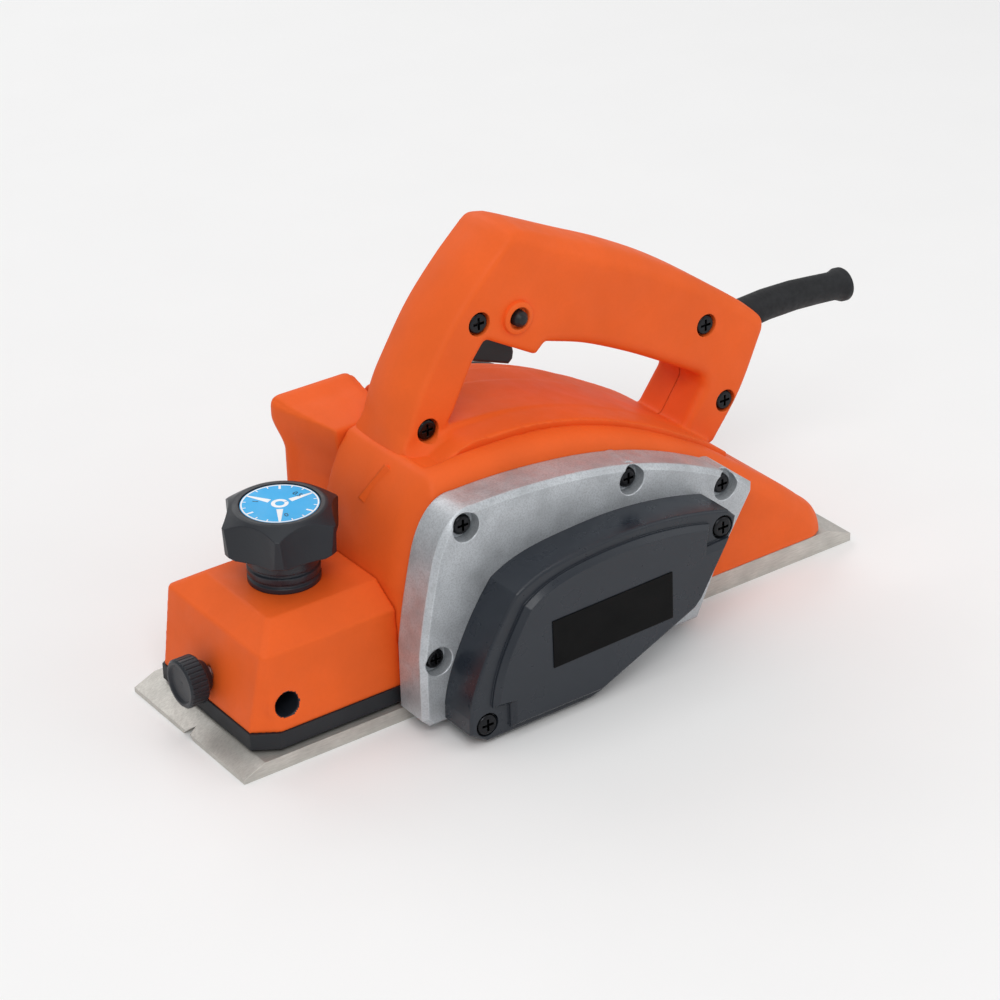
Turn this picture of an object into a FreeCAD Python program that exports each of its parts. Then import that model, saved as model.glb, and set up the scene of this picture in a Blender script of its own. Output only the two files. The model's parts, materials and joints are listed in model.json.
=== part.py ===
import FreeCAD, Part
import math
import os
import Sketcher

# Electric hand planer, millimetres.
# +X points to the rear of the tool, +Y away from the belt cover, +Z up.
# The origin is the middle of the sole, on the plane the planer slides on.

V = FreeCAD.Vector
os.makedirs("parts", exist_ok=True)
doc = FreeCAD.newDocument("planer")
sheet = doc.addObject("Spreadsheet::Sheet", "sizes")

DRIVING_SIZES = {
    # sole
    "sole_width": 82.0,
    "rear_shoe_thickness": 9.0,
    "front_shoe_thickness": 6.0,
    "groove_depth": 3.5,
    "groove_half_width": 3.5,
    # depth setting
    "knob_x": -103.0,
    "knob_radius": 24.2,
    "knob_bottom": 69.0,
    "knob_top": 86.0,
    "dial_radius": 15.1,
    "collar_radius": 14.2,
    "front_box_top": 54.0,
    "screw_radius": 5.0,
    "shank_radius": 6.0,
    # side fence rod
    "rod_x": -127.0,
    "rod_height": 24.3,
    "rod_bore_radius": 5.0,
    # cutter drum
    "drum_x": -35.0,
    "drum_height": 26.2,
    "drum_radius": 24.5,
    "drum_length": 82.0,
    "blade_flat": 17.0,
    "blade_thickness": 3.0,
    "clamp_thickness": 3.0,
    # motor
    "motor_x": 28.0,
    "motor_height": 44.0,
    "stator_radius": 30.8,
    "rotor_radius": 17.5,
    "motor_tube_radius": 34.0,
    # widths across the tool
    "plate_back": 42.0,
    "plate_depth": 16.0,
    "cover_depth": 17.0,
    "cover_panel": 3.0,
    "housing_far_side": 46.0,
    "handle_half_width": 16.0,
    "handle_base_half_width": 29.7,
    "wall": 3.0,
}

for row, (alias, value) in enumerate(DRIVING_SIZES.items(), start=1):
    sheet.set("A%d" % row, alias)
    sheet.set("B%d" % row, "%g" % value)
    sheet.setAlias("B%d" % row, alias)
doc.recompute()


def size(alias):
    return float(sheet.get(alias))


def value_of(number):
    """A number as it is, or the value of a sheet expression such as 'sizes.wall * 2'."""
    if isinstance(number, str):
        return float(sheet.evalExpression(number))
    return float(number)


# ---------------------------------------------------------------- outlines

def smooth_curve(points):
    curve = Part.BSplineCurve()
    curve.interpolate([V(u, v, 0) for u, v in points])
    return curve


def stretch_curve(points):
    """A straight line for two points, a smooth curve through more."""
    if len(points) == 2:
        return Part.LineSegment(V(*points[0], 0), V(*points[1], 0))
    return smooth_curve(points)


def polygon_stretches(points):
    closed = points + [points[0]]
    return [[closed[i], closed[i + 1]] for i in range(len(points))]


def sampled(stretches, per_curve=14):
    """The corner points of an outline, its curves cut into short chords."""
    points = []
    for stretch in stretches:
        if len(stretch) == 2:
            points.append(stretch[0])
        else:
            on_curve = smooth_curve(stretch).toShape().discretize(Number=per_curve)
            points.extend((p.x, p.y) for p in on_curve[:-1])
    return points


def inset(points, distance):
    """A polygon moved inward by a distance, without the edges that turn round on the way."""
    count = len(points)
    area = sum(points[i][0] * points[(i + 1) % count][1] - points[(i + 1) % count][0] * points[i][1]
               for i in range(count))
    turn = 1.0 if area > 0 else -1.0
    moved = []
    for i in range(count):
        before, here, after = points[i - 1], points[i], points[(i + 1) % count]
        ax, ay = here[0] - before[0], here[1] - before[1]
        bx, by = after[0] - here[0], after[1] - here[1]
        a_len, b_len = math.hypot(ax, ay), math.hypot(bx, by)
        n1 = (-ay / a_len * turn, ax / a_len * turn)
        n2 = (-by / b_len * turn, bx / b_len * turn)
        spread = 1.0 + n1[0] * n2[0] + n1[1] * n2[1]
        moved.append((here[0] + distance * (n1[0] + n2[0]) / spread,
                      here[1] + distance * (n1[1] + n2[1]) / spread))

    def keeps_direction(i):
        j = (i + 1) % count
        return ((moved[j][0] - moved[i][0]) * (points[j][0] - points[i][0])
                + (moved[j][1] - moved[i][1]) * (points[j][1] - points[i][1])) > 0

    return [moved[i] for i in range(count) if keeps_direction(i - 1)]


def turned(points, degrees, centre=(0.0, 0.0)):
    c, s = math.cos(math.radians(degrees)), math.sin(math.radians(degrees))
    return [(centre[0] + c * (u - centre[0]) - s * (v - centre[1]),
             centre[1] + s * (u - centre[0]) + c * (v - centre[1])) for u, v in points]


def rectangle(u1, v1, u2, v2):
    return [(u1, v1), (u2, v1), (u2, v2), (u1, v2)]


# ---------------------------------------------------------------- sub-parts

class Piece:
    """One sub-part made in a PartDesign body."""

    def __init__(self, label, x=0, y=0, z=0):
        self.label = label
        self.body = doc.addObject("PartDesign::Body", label)
        self.body.Label = label
        self.count = 0
        self.body.Placement.Base = V(value_of(x), value_of(y), value_of(z))
        for axis, place in (("x", x), ("y", y), ("z", z)):
            if isinstance(place, str):
                self.body.setExpression("Placement.Base." + axis, place)

    def sketch(self, plane, shift=0):
        self.count += 1
        sk = self.body.newObject("Sketcher::SketchObject", "%s_sketch_%d" % (self.label, self.count))
        origin = [f for f in self.body.Origin.OriginFeatures if f.Role == plane][0]
        sk.AttachmentSupport = [(origin, "")]
        sk.MapMode = "FlatFace"
        if isinstance(shift, str):
            sk.setExpression("AttachmentOffset.Base.z", shift)
        elif shift:
            sk.AttachmentOffset = FreeCAD.Placement(V(0, 0, shift), FreeCAD.Rotation())
        return sk

    def outline(self, plane, shift, stretches, holes=()):
        """A sketch of one closed outline, with round holes (u, v, radius) inside it."""
        sk = self.sketch(plane, shift)
        first = sk.GeometryCount
        for stretch in stretches:
            sk.addGeometry(stretch_curve(stretch), False)
        count = len(stretches)
        for i in range(count):
            sk.addConstraint(Sketcher.Constraint("Coincident", first + i, 2,
                                                 first + (i + 1) % count, 1))
        for hole in holes:
            self.circle(sk, *hole)
        return sk

    def polygon(self, plane, shift, points, holes=()):
        return self.outline(plane, shift, polygon_stretches(points), holes)

    def circle(self, sk, u, v, radius):
        """A circle whose radius follows the sheet when it is given as an expression."""
        index = sk.addGeometry(Part.Circle(V(value_of(u), value_of(v), 0), V(0, 0, 1),
                                           value_of(radius)), False)
        number = sk.addConstraint(Sketcher.Constraint("Radius", index, value_of(radius)))
        if isinstance(radius, str):
            sk.setExpression("Constraints[%d]" % number, radius)

    def circles(self, plane, shift, places):
        sk = self.sketch(plane, shift)
        for place in places:
            self.circle(sk, *place)
        return sk

    def feature(self, kind, name, sk=None):
        self.count += 1
        made = self.body.newObject("PartDesign::" + kind, "%s_%s_%d" % (self.label, name, self.count))
        if sk is not None:
            made.Profile = sk
        return made

    def set_length(self, made, length):
        if isinstance(length, str):
            made.setExpression("Length", length)
        else:
            made.Length = length

    def pad(self, sk, length, both_ways=False, reverse=False):
        made = self.feature("Pad", "pad", sk)
        self.set_length(made, length)
        made.Midplane = both_ways
        made.Reversed = reverse
        doc.recompute()
        return made

    def pocket(self, sk, length, both_ways=False, reverse=False):
        """Cut along the sketch normal; the volume must really drop."""
        before = self.body.Shape.Volume
        made = self.feature("Pocket", "pocket", sk)
        self.set_length(made, length)
        made.Midplane = both_ways
        made.Reversed = not reverse
        doc.recompute()
        if made.Shape.Volume >= before - 1e-3:
            raise ValueError("pocket in %s removes nothing" % self.label)
        return made

    def revolve(self, profile, plane="XZ_Plane", axis="V_Axis"):
        made = self.feature("Revolution", "turn", self.polygon(plane, 0, profile))
        made.ReferenceAxis = (made.Profile[0], [axis])
        made.Angle = 360
        doc.recompute()
        return made

    def around(self, made, axis, copies):
        """Repeat the last feature in a full circle about a body axis."""
        pattern = self.feature("PolarPattern", "ring")
        line = [f for f in self.body.Origin.OriginFeatures if f.Role == axis][0]
        pattern.Originals = [made]
        pattern.Axis = (line, [""])
        pattern.Angle = 360
        pattern.Occurrences = copies
        self.body.Tip = pattern
        doc.recompute()
        return pattern

    def edges(self, made, test):
        found = []
        for number, edge in enumerate(made.Shape.Edges, start=1):
            if test(edge.BoundBox):
                found.append("Edge%d" % number)
        return found

    def dress(self, kind, made, test, amount):
        """Fillet or Chamfer the edges of the last feature that pass a test."""
        dressed = self.feature(kind, kind.lower())
        dressed.Base = (made, self.edges(made, test))
        if kind == "Fillet":
            dressed.Radius = amount
        else:
            dressed.Size = amount
        doc.recompute()
        return dressed


def at_y(place, tolerance=0.01):
    return lambda box: abs(box.YMin - place) < tolerance and abs(box.YMax - place) < tolerance


def solid_group(label, shapes):
    """Separate solids that share one name, such as a set of equal screws."""
    group = doc.addObject("Part::Feature", label)
    group.Label = label
    group.Shape = Part.makeCompound(shapes) if len(shapes) > 1 else shapes[0]
    return group


def rod(radius, length, base, direction):
    return Part.makeCylinder(radius, length, V(*base), V(*direction))


def cross_screw(head_radius, head_height, shank_radius, shank_length):
    """Pan head screw at the origin, head toward +Z, with a cross recess."""
    head = Part.makeCylinder(head_radius, head_height)
    rim = [e for e in head.Edges if abs(e.BoundBox.ZMin - head_height) < 1e-6]
    head = head.makeFillet(head_height * 0.45, rim[:1])
    slot_long, slot_wide = head_radius * 1.2, head_radius * 0.26
    deep = head_height * 0.6
    for wide, tall in ((slot_long, slot_wide), (slot_wide, slot_long)):
        cut = Part.makeBox(wide, tall, deep + 1, V(-wide / 2, -tall / 2, head_height - deep))
        head = head.cut(cut)
    return head.fuse(Part.makeCylinder(shank_radius, shank_length, V(0, 0, -shank_length)))


def placed(shape, base, direction):
    """A copy of a shape built on +Z, moved to a base point and turned to a direction."""
    moved = shape.copy()
    turn = FreeCAD.Placement(V(*base), FreeCAD.Rotation(V(0, 0, 1), V(*direction)))
    moved.Placement = turn.multiply(shape.Placement)
    return moved


def coil_spring(mean_radius, wire_radius, length, turns):
    """Closed coil of round wire along +Z, from z = 0 to z = length."""
    rise = length - 2 * wire_radius
    helix = Part.makeHelix(rise / turns, rise, mean_radius)
    ring = Part.Wire(Part.makeCircle(wire_radius, V(mean_radius, 0, 0), V(0, 1, 0)))
    coil = Part.Wire(helix.Edges).makePipeShell([ring], True, True)
    coil.translate(V(0, 0, wire_radius))
    return coil


# ---------------------------------------------------------------- shared outlines (x, z)

BODY_TOP = [(-60, 97.5), (-41, 99.6), (-22, 99.4), (-4, 98), (21, 92), (46, 82), (62, 73.5),
            (78, 64), (92, 53.5), (111, 39.5), (127, 26)]
BODY_FRONT = [(-76, 54), (-72.5, 72), (-67.5, 87), (-60, 97.5)]
BODY_TAIL = [(127, 26), (133, 20), (135.5, 14)]
SIDE_PLATE = [
    [(-80, 8), (-80, 36)],
    [(-80, 36), (-78.2, 48), (-74.5, 66), (-69.5, 82), (-62.5, 90.5), (-53, 92.6)],
    [(-53, 92.6), (-36, 92.6), (-15, 91.2), (14, 86.8), (46, 76.8), (76, 61.6)],
    [(76, 61.6), (81, 57.5)],
    [(81, 57.5), (81, 54)],
    [(81, 54), (65, 28)],
    [(65, 28), (54, 4.5)],
    [(54, 4.5), (-76.5, 4.5)],
    [(-76.5, 4.5), (-80, 8)],
]
BELT_COVER = [
    [(-70.6, 7), (-70.6, 14)],
    [(-70.6, 14), (-68.4, 23.5), (-63.8, 35), (-58.8, 44.8), (-48, 60.5)],
    [(-48, 60.5), (-38, 65), (-15, 68.6), (5, 69.4), (28, 67.6), (54, 61.8)],
    [(54, 61.8), (57.7, 58)],
    [(57.7, 58), (56.5, 53)],
    [(56.5, 53), (42, 28)],
    [(42, 28), (38, 23.5)],
    [(38, 23.5), (-9, 3.2)],
    [(-9, 3.2), (-14, 2)],
    [(-14, 2), (-63, 2)],
    [(-63, 2), (-70.6, 7)],
]
PLATE_SCREWS = [(-58.2, 85.2), (-72.4, 32.5), (19.5, 79.2), (66.5, 61.0)]
COVER_SCREWS = [(-63.0, 9.3), (50.8, 55.4)]
REAR_SHOE_SCREWS = [(0, -30), (0, 30), (110, -28), (110, 28)]
HANDLE_SCREWS = [(-20.5, 141.5), (-45.5, 104.5), (90.5, 108.5), (101.0, 71.5)]

belt_front = size("plate_back") + size("plate_depth")
cover_front = belt_front + size("cover_depth")
panel_front = cover_front + size("cover_panel")
drum_centre = (size("drum_x"), size("drum_height"))
motor_centre = (size("motor_x"), size("motor_height"))

# ---------------------------------------------------------------- sole and depth setting

front_shoe = Piece("front_shoe")
front_thick = size("front_shoe_thickness")
shoe_side = [(-150, 0), (-52, 0), (-57, front_thick), (-140.5, front_thick), (-150, 2)]
front_shoe.pad(front_shoe.polygon("XZ_Plane", 0, shoe_side), "sizes.sole_width", both_ways=True)
front_shoe.pad(front_shoe.circles("XY_Plane", "sizes.front_shoe_thickness",
                                  [("sizes.knob_x", 0, 11.0)]), 22)
vee = [(-size("groove_half_width"), -0.01), (0, size("groove_depth")), (size("groove_half_width"), -0.01)]
front_shoe.pocket(front_shoe.polygon("YZ_Plane", -100, vee), 110, both_ways=True)
front_shoe.pocket(front_shoe.circles("XY_Plane", 28, [("sizes.knob_x", 0, "sizes.screw_radius + 0.05")]),
                  21, reverse=True)
front_shoe.pocket(front_shoe.circles("XY_Plane", "sizes.front_shoe_thickness",
                                     [(-90, 24, 4.0), (-90, -24, 4.0)]), 3, reverse=True)

guide_pin = rod(4.0, 35, (0, 0, 3), (0, 0, 1))
pin_top = [e for e in guide_pin.Edges if abs(e.BoundBox.ZMin - 38) < 1e-6]
guide_pin = guide_pin.makeChamfer(0.8, pin_top[:1])
solid_group("guide_pins", [placed(guide_pin, (-90, side * 24, 0), (0, 0, 1)) for side in (-1, 1)])
shoe_spring = coil_spring(5.2, 0.7, 10.2, 4.5)
solid_group("shoe_springs", [placed(shoe_spring, (-90, side * 24, 6.2), (0, 0, 1)) for side in (-1, 1)])

# The depth screw stands on the knob axis: thread below, smooth shank above.
depth_screw = Piece("depth_screw", x="sizes.knob_x")
screw_side = [(0, 8.6), (4.4, 8.6), (size("screw_radius"), 9.4), (size("screw_radius"), 33),
              (size("shank_radius"), 34), (size("shank_radius"), 84), (0, 84)]
depth_screw.revolve(screw_side)

screw_clip = Piece("screw_clip", x="sizes.knob_x")
clip_ring = [(size("shank_radius"), 49.2), (9.0, 49.2), (9.0, 50.7), (size("shank_radius"), 50.7)]
screw_clip.revolve(clip_ring)
screw_clip.pocket(screw_clip.polygon("XY_Plane", 51, rectangle(0, -2.5, 12, 2.5)), 2, reverse=True)

knob_collar = Piece("knob_collar", x="sizes.knob_x")
collar = size("collar_radius")
collar_side = [(size("shank_radius"), 54.3), (collar, 54.3), (collar, 56.2), (collar - 0.8, 56.8),
               (collar - 0.8, 57.6), (collar, 58.2), (collar, 60.4), (collar - 0.8, 61.0),
               (collar - 0.8, 61.8), (collar, 62.4), (collar, size("knob_bottom")),
               (size("shank_radius"), size("knob_bottom"))]
knob_collar.revolve(collar_side)

# The knob has six lobes with hollowed sides and a sloped upper rim.
depth_knob = Piece("depth_knob", x="sizes.knob_x")
knob_r, knob_low, knob_high = size("knob_radius"), size("knob_bottom"), size("knob_top")
knob_side = [(size("shank_radius"), knob_low), (knob_r - 2.4, knob_low), (knob_r - 0.9, knob_low + 1),
             (knob_r, knob_high - 4.0), (18.2, knob_high - 0.3), (17.2, knob_high),
             (15.6, knob_high), (15.6, knob_high - 1.0), (0, knob_high - 1.0), (0, 84),
             (size("shank_radius"), 84)]
depth_knob.revolve(knob_side)
hollow = depth_knob.circles("XY_Plane", 60, [tuple(turned([(56.8, 0)], 25)[0]) + (37.2,)])
depth_knob.around(depth_knob.pocket(hollow, 40), "Z_Axis", 6)

depth_dial = Piece("depth_dial", x="sizes.knob_x")
depth_dial.pad(depth_dial.circles("XY_Plane", "sizes.knob_top - 1", [(0, 0, "sizes.dial_radius")]), 0.7)

guide_knob = Piece("guide_knob", z="sizes.rod_height")
grip_side = [(-140.7, 3.0), (-140.7, 6.0), (-143.2, 7.4), (-143.9, 9.2), (-144.6, 9.8), (-151.2, 9.8),
             (-152.0, 9.0), (-152.0, 8.0), (-151.0, 7.0), (-150.6, 0), (-149.0, 0), (-149.0, 3.0)]
guide_knob.revolve(grip_side, "XY_Plane", "H_Axis")
notch = guide_knob.polygon("YZ_Plane", -153, [(9.3, 0), (10.4, -0.8), (10.4, 0.8)])
guide_knob.around(guide_knob.pocket(notch, 8.6), "X_Axis", 30)

guide_screw = Piece("guide_screw", z="sizes.rod_height")
guide_screw.revolve([(-149.0, 0), (-149.0, 3.0), (-133.0, 3.0), (-132.2, 2.0), (-132.2, 0)],
                    "XY_Plane", "H_Axis")

rear_shoe = Piece("rear_shoe")
rear_thick = size("rear_shoe_thickness")
shoe_side = [(-20, 0), (150, 0), (150, 3.6), (137, rear_thick), (-12, rear_thick)]
rear_shoe.pad(rear_shoe.polygon("XZ_Plane", 0, shoe_side), "sizes.sole_width", both_ways=True)
rear_shoe.pocket(rear_shoe.circles("XY_Plane", 0, [(x, y, 2.6) for x, y in REAR_SHOE_SCREWS]), 12)
rear_shoe.pocket(rear_shoe.circles("XY_Plane", 0, [(x, y, 5.0) for x, y in REAR_SHOE_SCREWS]), 4)

shoe_screw = cross_screw(4.6, 3.0, 2.5, 10.6)
solid_group("rear_shoe_screws", [placed(shoe_screw, (x, y, 4.0), (0, 0, -1)) for x, y in REAR_SHOE_SCREWS])

# ---------------------------------------------------------------- front box


def box_section(front, half_width, corner_long, corner_wide, rear=-76.2):
    """Plan of the front box at one height, its two front corners cut off."""
    return [(rear, -half_width), (front + corner_long, -half_width),
            (front, -half_width + corner_wide), (front, half_width - corner_wide),
            (front + corner_long, half_width), (rear, half_width)]


front_housing = Piece("front_housing")
outer = [(14, -141, 38, 10, 6.5), (46, -135.5, 35, 1.6, 1.6), (size("front_box_top"), -125, 23, 1.6, 1.6)]
inner = [(13.9, -138, 35, 9, 5.9), (44.5, -132.6, 32, 1.5, 1.5),
         (size("front_box_top") - 3, -123, 21, 1.5, 1.5)]
for kind, sections in (("AdditiveLoft", outer), ("SubtractiveLoft", inner)):
    rear = -76.2 if kind == "AdditiveLoft" else -79.2
    plans = [front_housing.polygon("XY_Plane", z, box_section(front, half, long, wide, rear))
             for z, front, half, long, wide in sections]
    loft = front_housing.feature(kind, "loft", plans[0])
    loft.Sections = plans[1:]
    loft.Ruled = True
    doc.recompute()
front_housing.pad(front_housing.circles("XZ_Plane", 0, [("sizes.rod_x", "sizes.rod_height", 8.0)]),
                  73, both_ways=True)
front_housing.pad(front_housing.polygon("XY_Plane", 18, rectangle(-138, -6, -132, 6)), 12.6)
front_housing.pad(front_housing.circles("XY_Plane", 17, [(-90, 24, 6.4), (-90, -24, 6.4)]), 30)
front_housing.pocket(front_housing.circles("XZ_Plane", 0, [("sizes.rod_x", "sizes.rod_height",
                                                           "sizes.rod_bore_radius")]), 90, both_ways=True)
front_housing.pocket(front_housing.circles("YZ_Plane", -145, [(0, "sizes.rod_height", 3.05)]), 15)
front_housing.pocket(front_housing.circles("XY_Plane", 16, [(-90, 24, 4.05), (-90, -24, 4.05)]), 29)
front_housing.pocket(front_housing.circles("XY_Plane", 48, [("sizes.knob_x", 0,
                                                            "sizes.shank_radius + 0.05")]), 8)

front_skirt = Piece("front_skirt")
band = box_section(-141.4, 38.6, 9.6, 6.2, -76.2)
front_skirt.pad(front_skirt.polygon("XY_Plane", 7.3, band), 6.7)
front_skirt.pocket(front_skirt.polygon("XY_Plane", 7.3, inset(band, 3)), 7)

# ---------------------------------------------------------------- main housing

top_line = sampled([BODY_TOP])


def under_top(drop, first_x, last_x, floor_z):
    """Region below the top line moved down by a drop, between two x positions."""
    inside = [(x, z - drop) for x, z in top_line if first_x < x < last_x]
    return [(first_x, floor_z), (first_x, inside[0][1])] + inside + [(last_x, inside[-1][1] - 1),
                                                                     (last_x, floor_z)]


main_housing = Piece("main_housing")
body_side = [[(-76, 9), (-76, 54)], BODY_FRONT, BODY_TOP, BODY_TAIL,
             [(135.5, 14), (135.5, 9)], [(135.5, 9), (-76, 9)]]
block = main_housing.pad(main_housing.outline("XZ_Plane", "-sizes.housing_far_side", body_side),
                         "sizes.housing_far_side + sizes.plate_back")
main_housing.dress("Fillet", block,
                   lambda box: (abs(box.YMax - box.YMin) < 0.01 and box.ZMin > 12
                                and box.ZMax > 20 and box.XMax > 0), 9)
cavity = [(-73, 12), (-73, 54), (-69.5, 70), (-64, 84)] + under_top(11, -58, 118, 12)[2:-1] + [(122, 12)]
main_housing.pocket(main_housing.polygon("XZ_Plane", "sizes.plate_back", cavity),
                    "sizes.plate_back + sizes.housing_far_side - sizes.wall", reverse=True)
tail_wall = [(52, 10), (63, 30), (75, 50)] + under_top(9.6, 76, 119, 10)[1:-2] + [(122.5, 20), (124, 10)]
main_housing.pad(main_housing.polygon("XZ_Plane", "sizes.plate_back - sizes.wall", tail_wall), "sizes.wall")
main_housing.pocket(main_housing.polygon("XZ_Plane", 31, under_top(6, -56, 100, 40)), 62,
                    reverse=True)
seat = under_top(3, -57, 91, 40)[1:-1]
main_housing.pocket(main_housing.polygon("XZ_Plane", 30, seat + [(91, 130), (-57, 130)]), 60,
                    reverse=True)
main_housing.pocket(main_housing.polygon("XZ_Plane", 0, rectangle(-58, 5, -10.5, 20)), 83.6, both_ways=True)
main_housing.pad(main_housing.circles("XZ_Plane", -54, [("sizes.drum_x", "sizes.drum_height", 18.0)]), 11)
main_housing.pocket(main_housing.circles("XZ_Plane", -40, [("sizes.drum_x", "sizes.drum_height", 14.0)]), 12,
                    reverse=True)
main_housing.pad(main_housing.circles("XZ_Plane", -62, [("sizes.motor_x", "sizes.motor_height",
                                                        "sizes.motor_tube_radius")]), 76)
ear_places = [turned([(motor_centre[0] + 37.2, motor_centre[1])], angle, motor_centre)[0]
              for angle in (25, 155, 225, 315)]
main_housing.pad(main_housing.circles("XZ_Plane", -62, [(u, v, 4.2) for u, v in ear_places]), 16.5)
main_housing.pocket(main_housing.circles("XZ_Plane", 20, [("sizes.motor_x", "sizes.motor_height",
                                                          "sizes.stator_radius + 0.3")]), 84,
                    reverse=True)
main_housing.pocket(main_housing.circles("XZ_Plane", -50, [(u, v, 1.5) for u, v in ear_places]), 14,
                    reverse=True)
main_housing.pocket(main_housing.circles("YZ_Plane", -12, [(54, "sizes.motor_height", 6.2)]), 80)
main_housing.pad(main_housing.circles("XZ_Plane", 42, [(u, v, 3.5) for u, v in PLATE_SCREWS]), 14,
                 reverse=True)
main_housing.pocket(main_housing.circles("XZ_Plane", 42, [(u, v, 2.0) for u, v in PLATE_SCREWS]), 12,
                    reverse=True)
main_housing.pad(main_housing.circles("XY_Plane", 9, [(x, y, 5.0) for x, y in REAR_SHOE_SCREWS]), 7)
main_housing.pocket(main_housing.circles("XY_Plane", 9, [(x, y, 2.6) for x, y in REAR_SHOE_SCREWS]), 6)
CHUTE_NOTCH = rectangle(-80, 54.5, -35.5, 115)
main_housing.pocket(main_housing.polygon("XZ_Plane", -17.5, CHUTE_NOTCH), 32.6, reverse=True)

# The chip chute turns the chips out to the far side through a flared mouth.
chip_chute = Piece("chip_chute")
outer = [(-17.8, -70, 61, -41, 97), (-40, -73.5, 58, -38, 100.5), (-52, -77, 55, -36, 104)]
inner = [(-20.5, -67.5, 63.5, -43.5, 94.5), (-40, -71, 60.5, -40.5, 98), (-52.1, -74.8, 57.2, -38.2, 101.8)]
for kind, sections in (("AdditiveLoft", outer), ("SubtractiveLoft", inner)):
    frames = [chip_chute.polygon("XZ_Plane", y, rectangle(u1, v1, u2, v2)) for y, u1, v1, u2, v2 in sections]
    loft = chip_chute.feature(kind, "loft", frames[0])
    loft.Sections = frames[1:]
    loft.Ruled = True
    doc.recompute()
chip_chute.pocket(chip_chute.polygon("XY_Plane", 50, rectangle(-66, 22, -45, 38)), 16)

drum_shroud = Piece("drum_shroud", x="sizes.drum_x", z="sizes.drum_height")
drum_shroud.pad(drum_shroud.circles("XZ_Plane", 41.6, [(0, 0, 31.0), (0, 0, 28.0)]), 83.2, reverse=True)
drum_shroud.pocket(drum_shroud.polygon("XZ_Plane", 45, rectangle(-40, -45, 40, -14.0)), 90, reverse=True)
drum_shroud.pocket(drum_shroud.polygon("XY_Plane", 10, rectangle(-28, 2, 6, 40)), 30)

# ---------------------------------------------------------------- belt side

side_plate = Piece("side_plate")
slab = side_plate.pad(side_plate.outline("XZ_Plane", "sizes.plate_back", SIDE_PLATE), "sizes.plate_depth")
side_plate.dress("Chamfer", slab, at_y(-belt_front), 2.0)
plate_points = sampled(SIDE_PLATE)
bearing_bosses = [("sizes.drum_x", "sizes.drum_height", 18.0), ("sizes.motor_x", "sizes.motor_height", 17.0)]
screw_bosses = [(u, v, 6.5) for u, v in PLATE_SCREWS]
rim = side_plate.polygon("XZ_Plane", "sizes.plate_back", inset(plate_points, 4.0))
side_plate.pocket(rim, 11)
side_plate.pad(side_plate.circles("XZ_Plane", 43, bearing_bosses), 11)
side_plate.pad(side_plate.circles("XZ_Plane", 42, screw_bosses), 12)
side_plate.pocket(side_plate.circles("XZ_Plane", 42, [("sizes.drum_x", "sizes.drum_height", 14.0),
                                                      ("sizes.motor_x", "sizes.motor_height", 13.0)]), 13.1)
side_plate.pocket(side_plate.circles("XZ_Plane", 50, [("sizes.drum_x", "sizes.drum_height", 10.0),
                                                      ("sizes.motor_x", "sizes.motor_height", 9.0)]), 12)
side_plate.pocket(side_plate.circles("XZ_Plane", 52.5, [(u, v, 6.0) for u, v in PLATE_SCREWS]), 10)
side_plate.pocket(side_plate.circles("XZ_Plane", 41, [(u, v, 2.6) for u, v in PLATE_SCREWS]), 20)
side_plate.pocket(side_plate.circles("XZ_Plane", 52, [(u, v, 2.0) for u, v in COVER_SCREWS]), 10)

plate_screw = cross_screw(4.1, 3.4, 2.0, 20)
solid_group("side_plate_screws", [placed(plate_screw, (u, -52.5, v), (0, -1, 0)) for u, v in PLATE_SCREWS])

belt_cover = Piece("belt_cover")
shell = belt_cover.pad(belt_cover.outline("XZ_Plane", belt_front, BELT_COVER), "sizes.cover_depth")
belt_cover.dress("Fillet", shell, at_y(-cover_front), 1.2)
cover_points = sampled(BELT_COVER)
PANEL = [
    [(-61, 16.5), (-57.6, 32), (-52, 44), (-45.2, 55.2)],
    [(-45.2, 55.2), (-36, 60.3), (-15, 64.6), (5, 65.4), (26, 63.6), (43.5, 59.8)],
    [(43.5, 59.8), (42.2, 50)],
    [(42.2, 50), (53.4, 50.6)],
    [(53.4, 50.6), (39.8, 28.4)],
    [(39.8, 28.4), (36.6, 25.2)],
    [(36.6, 25.2), (-10.5, 4.9)],
    [(-10.5, 4.9), (-53, 4.9)],
    [(-53, 4.9), (-53, 15.5)],
    [(-53, 15.5), (-61, 16.5)],
]
panel = belt_cover.pad(belt_cover.outline("XZ_Plane", cover_front, PANEL), "sizes.cover_panel")
belt_cover.dress("Chamfer", panel, at_y(-panel_front), 2.0)
belt_cover.pocket(belt_cover.polygon("XZ_Plane", belt_front, inset(cover_points, 2.2)), 15)
inner_panel = inset(sampled(PANEL), 4.2)
belt_cover.pocket(belt_cover.polygon("XZ_Plane", belt_front, inner_panel), 17.6)
belt_cover.pad(belt_cover.circles("XZ_Plane", belt_front, [(u, v, 6.2) for u, v in COVER_SCREWS]), 15)
belt_cover.pocket(belt_cover.circles("XZ_Plane", cover_front - 2.2, [(u, v, 5.0) for u, v in COVER_SCREWS]),
                  10)
belt_cover.pocket(belt_cover.circles("XZ_Plane", belt_front - 1, [(u, v, 2.1) for u, v in COVER_SCREWS]), 20)

cover_screw = cross_screw(4.4, 2.6, 2.0, 17.6)
solid_group("belt_cover_screws", [placed(cover_screw, (u, -(cover_front - 2.2), v), (0, -1, 0))
                                  for u, v in COVER_SCREWS])

cover_label = Piece("cover_label")
label_corners = turned(rectangle(-34, 25.5, 23.5, 46), 1.2, (-5, 36))
cover_label.pad(cover_label.polygon("XZ_Plane", panel_front, label_corners), 0.4)


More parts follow.
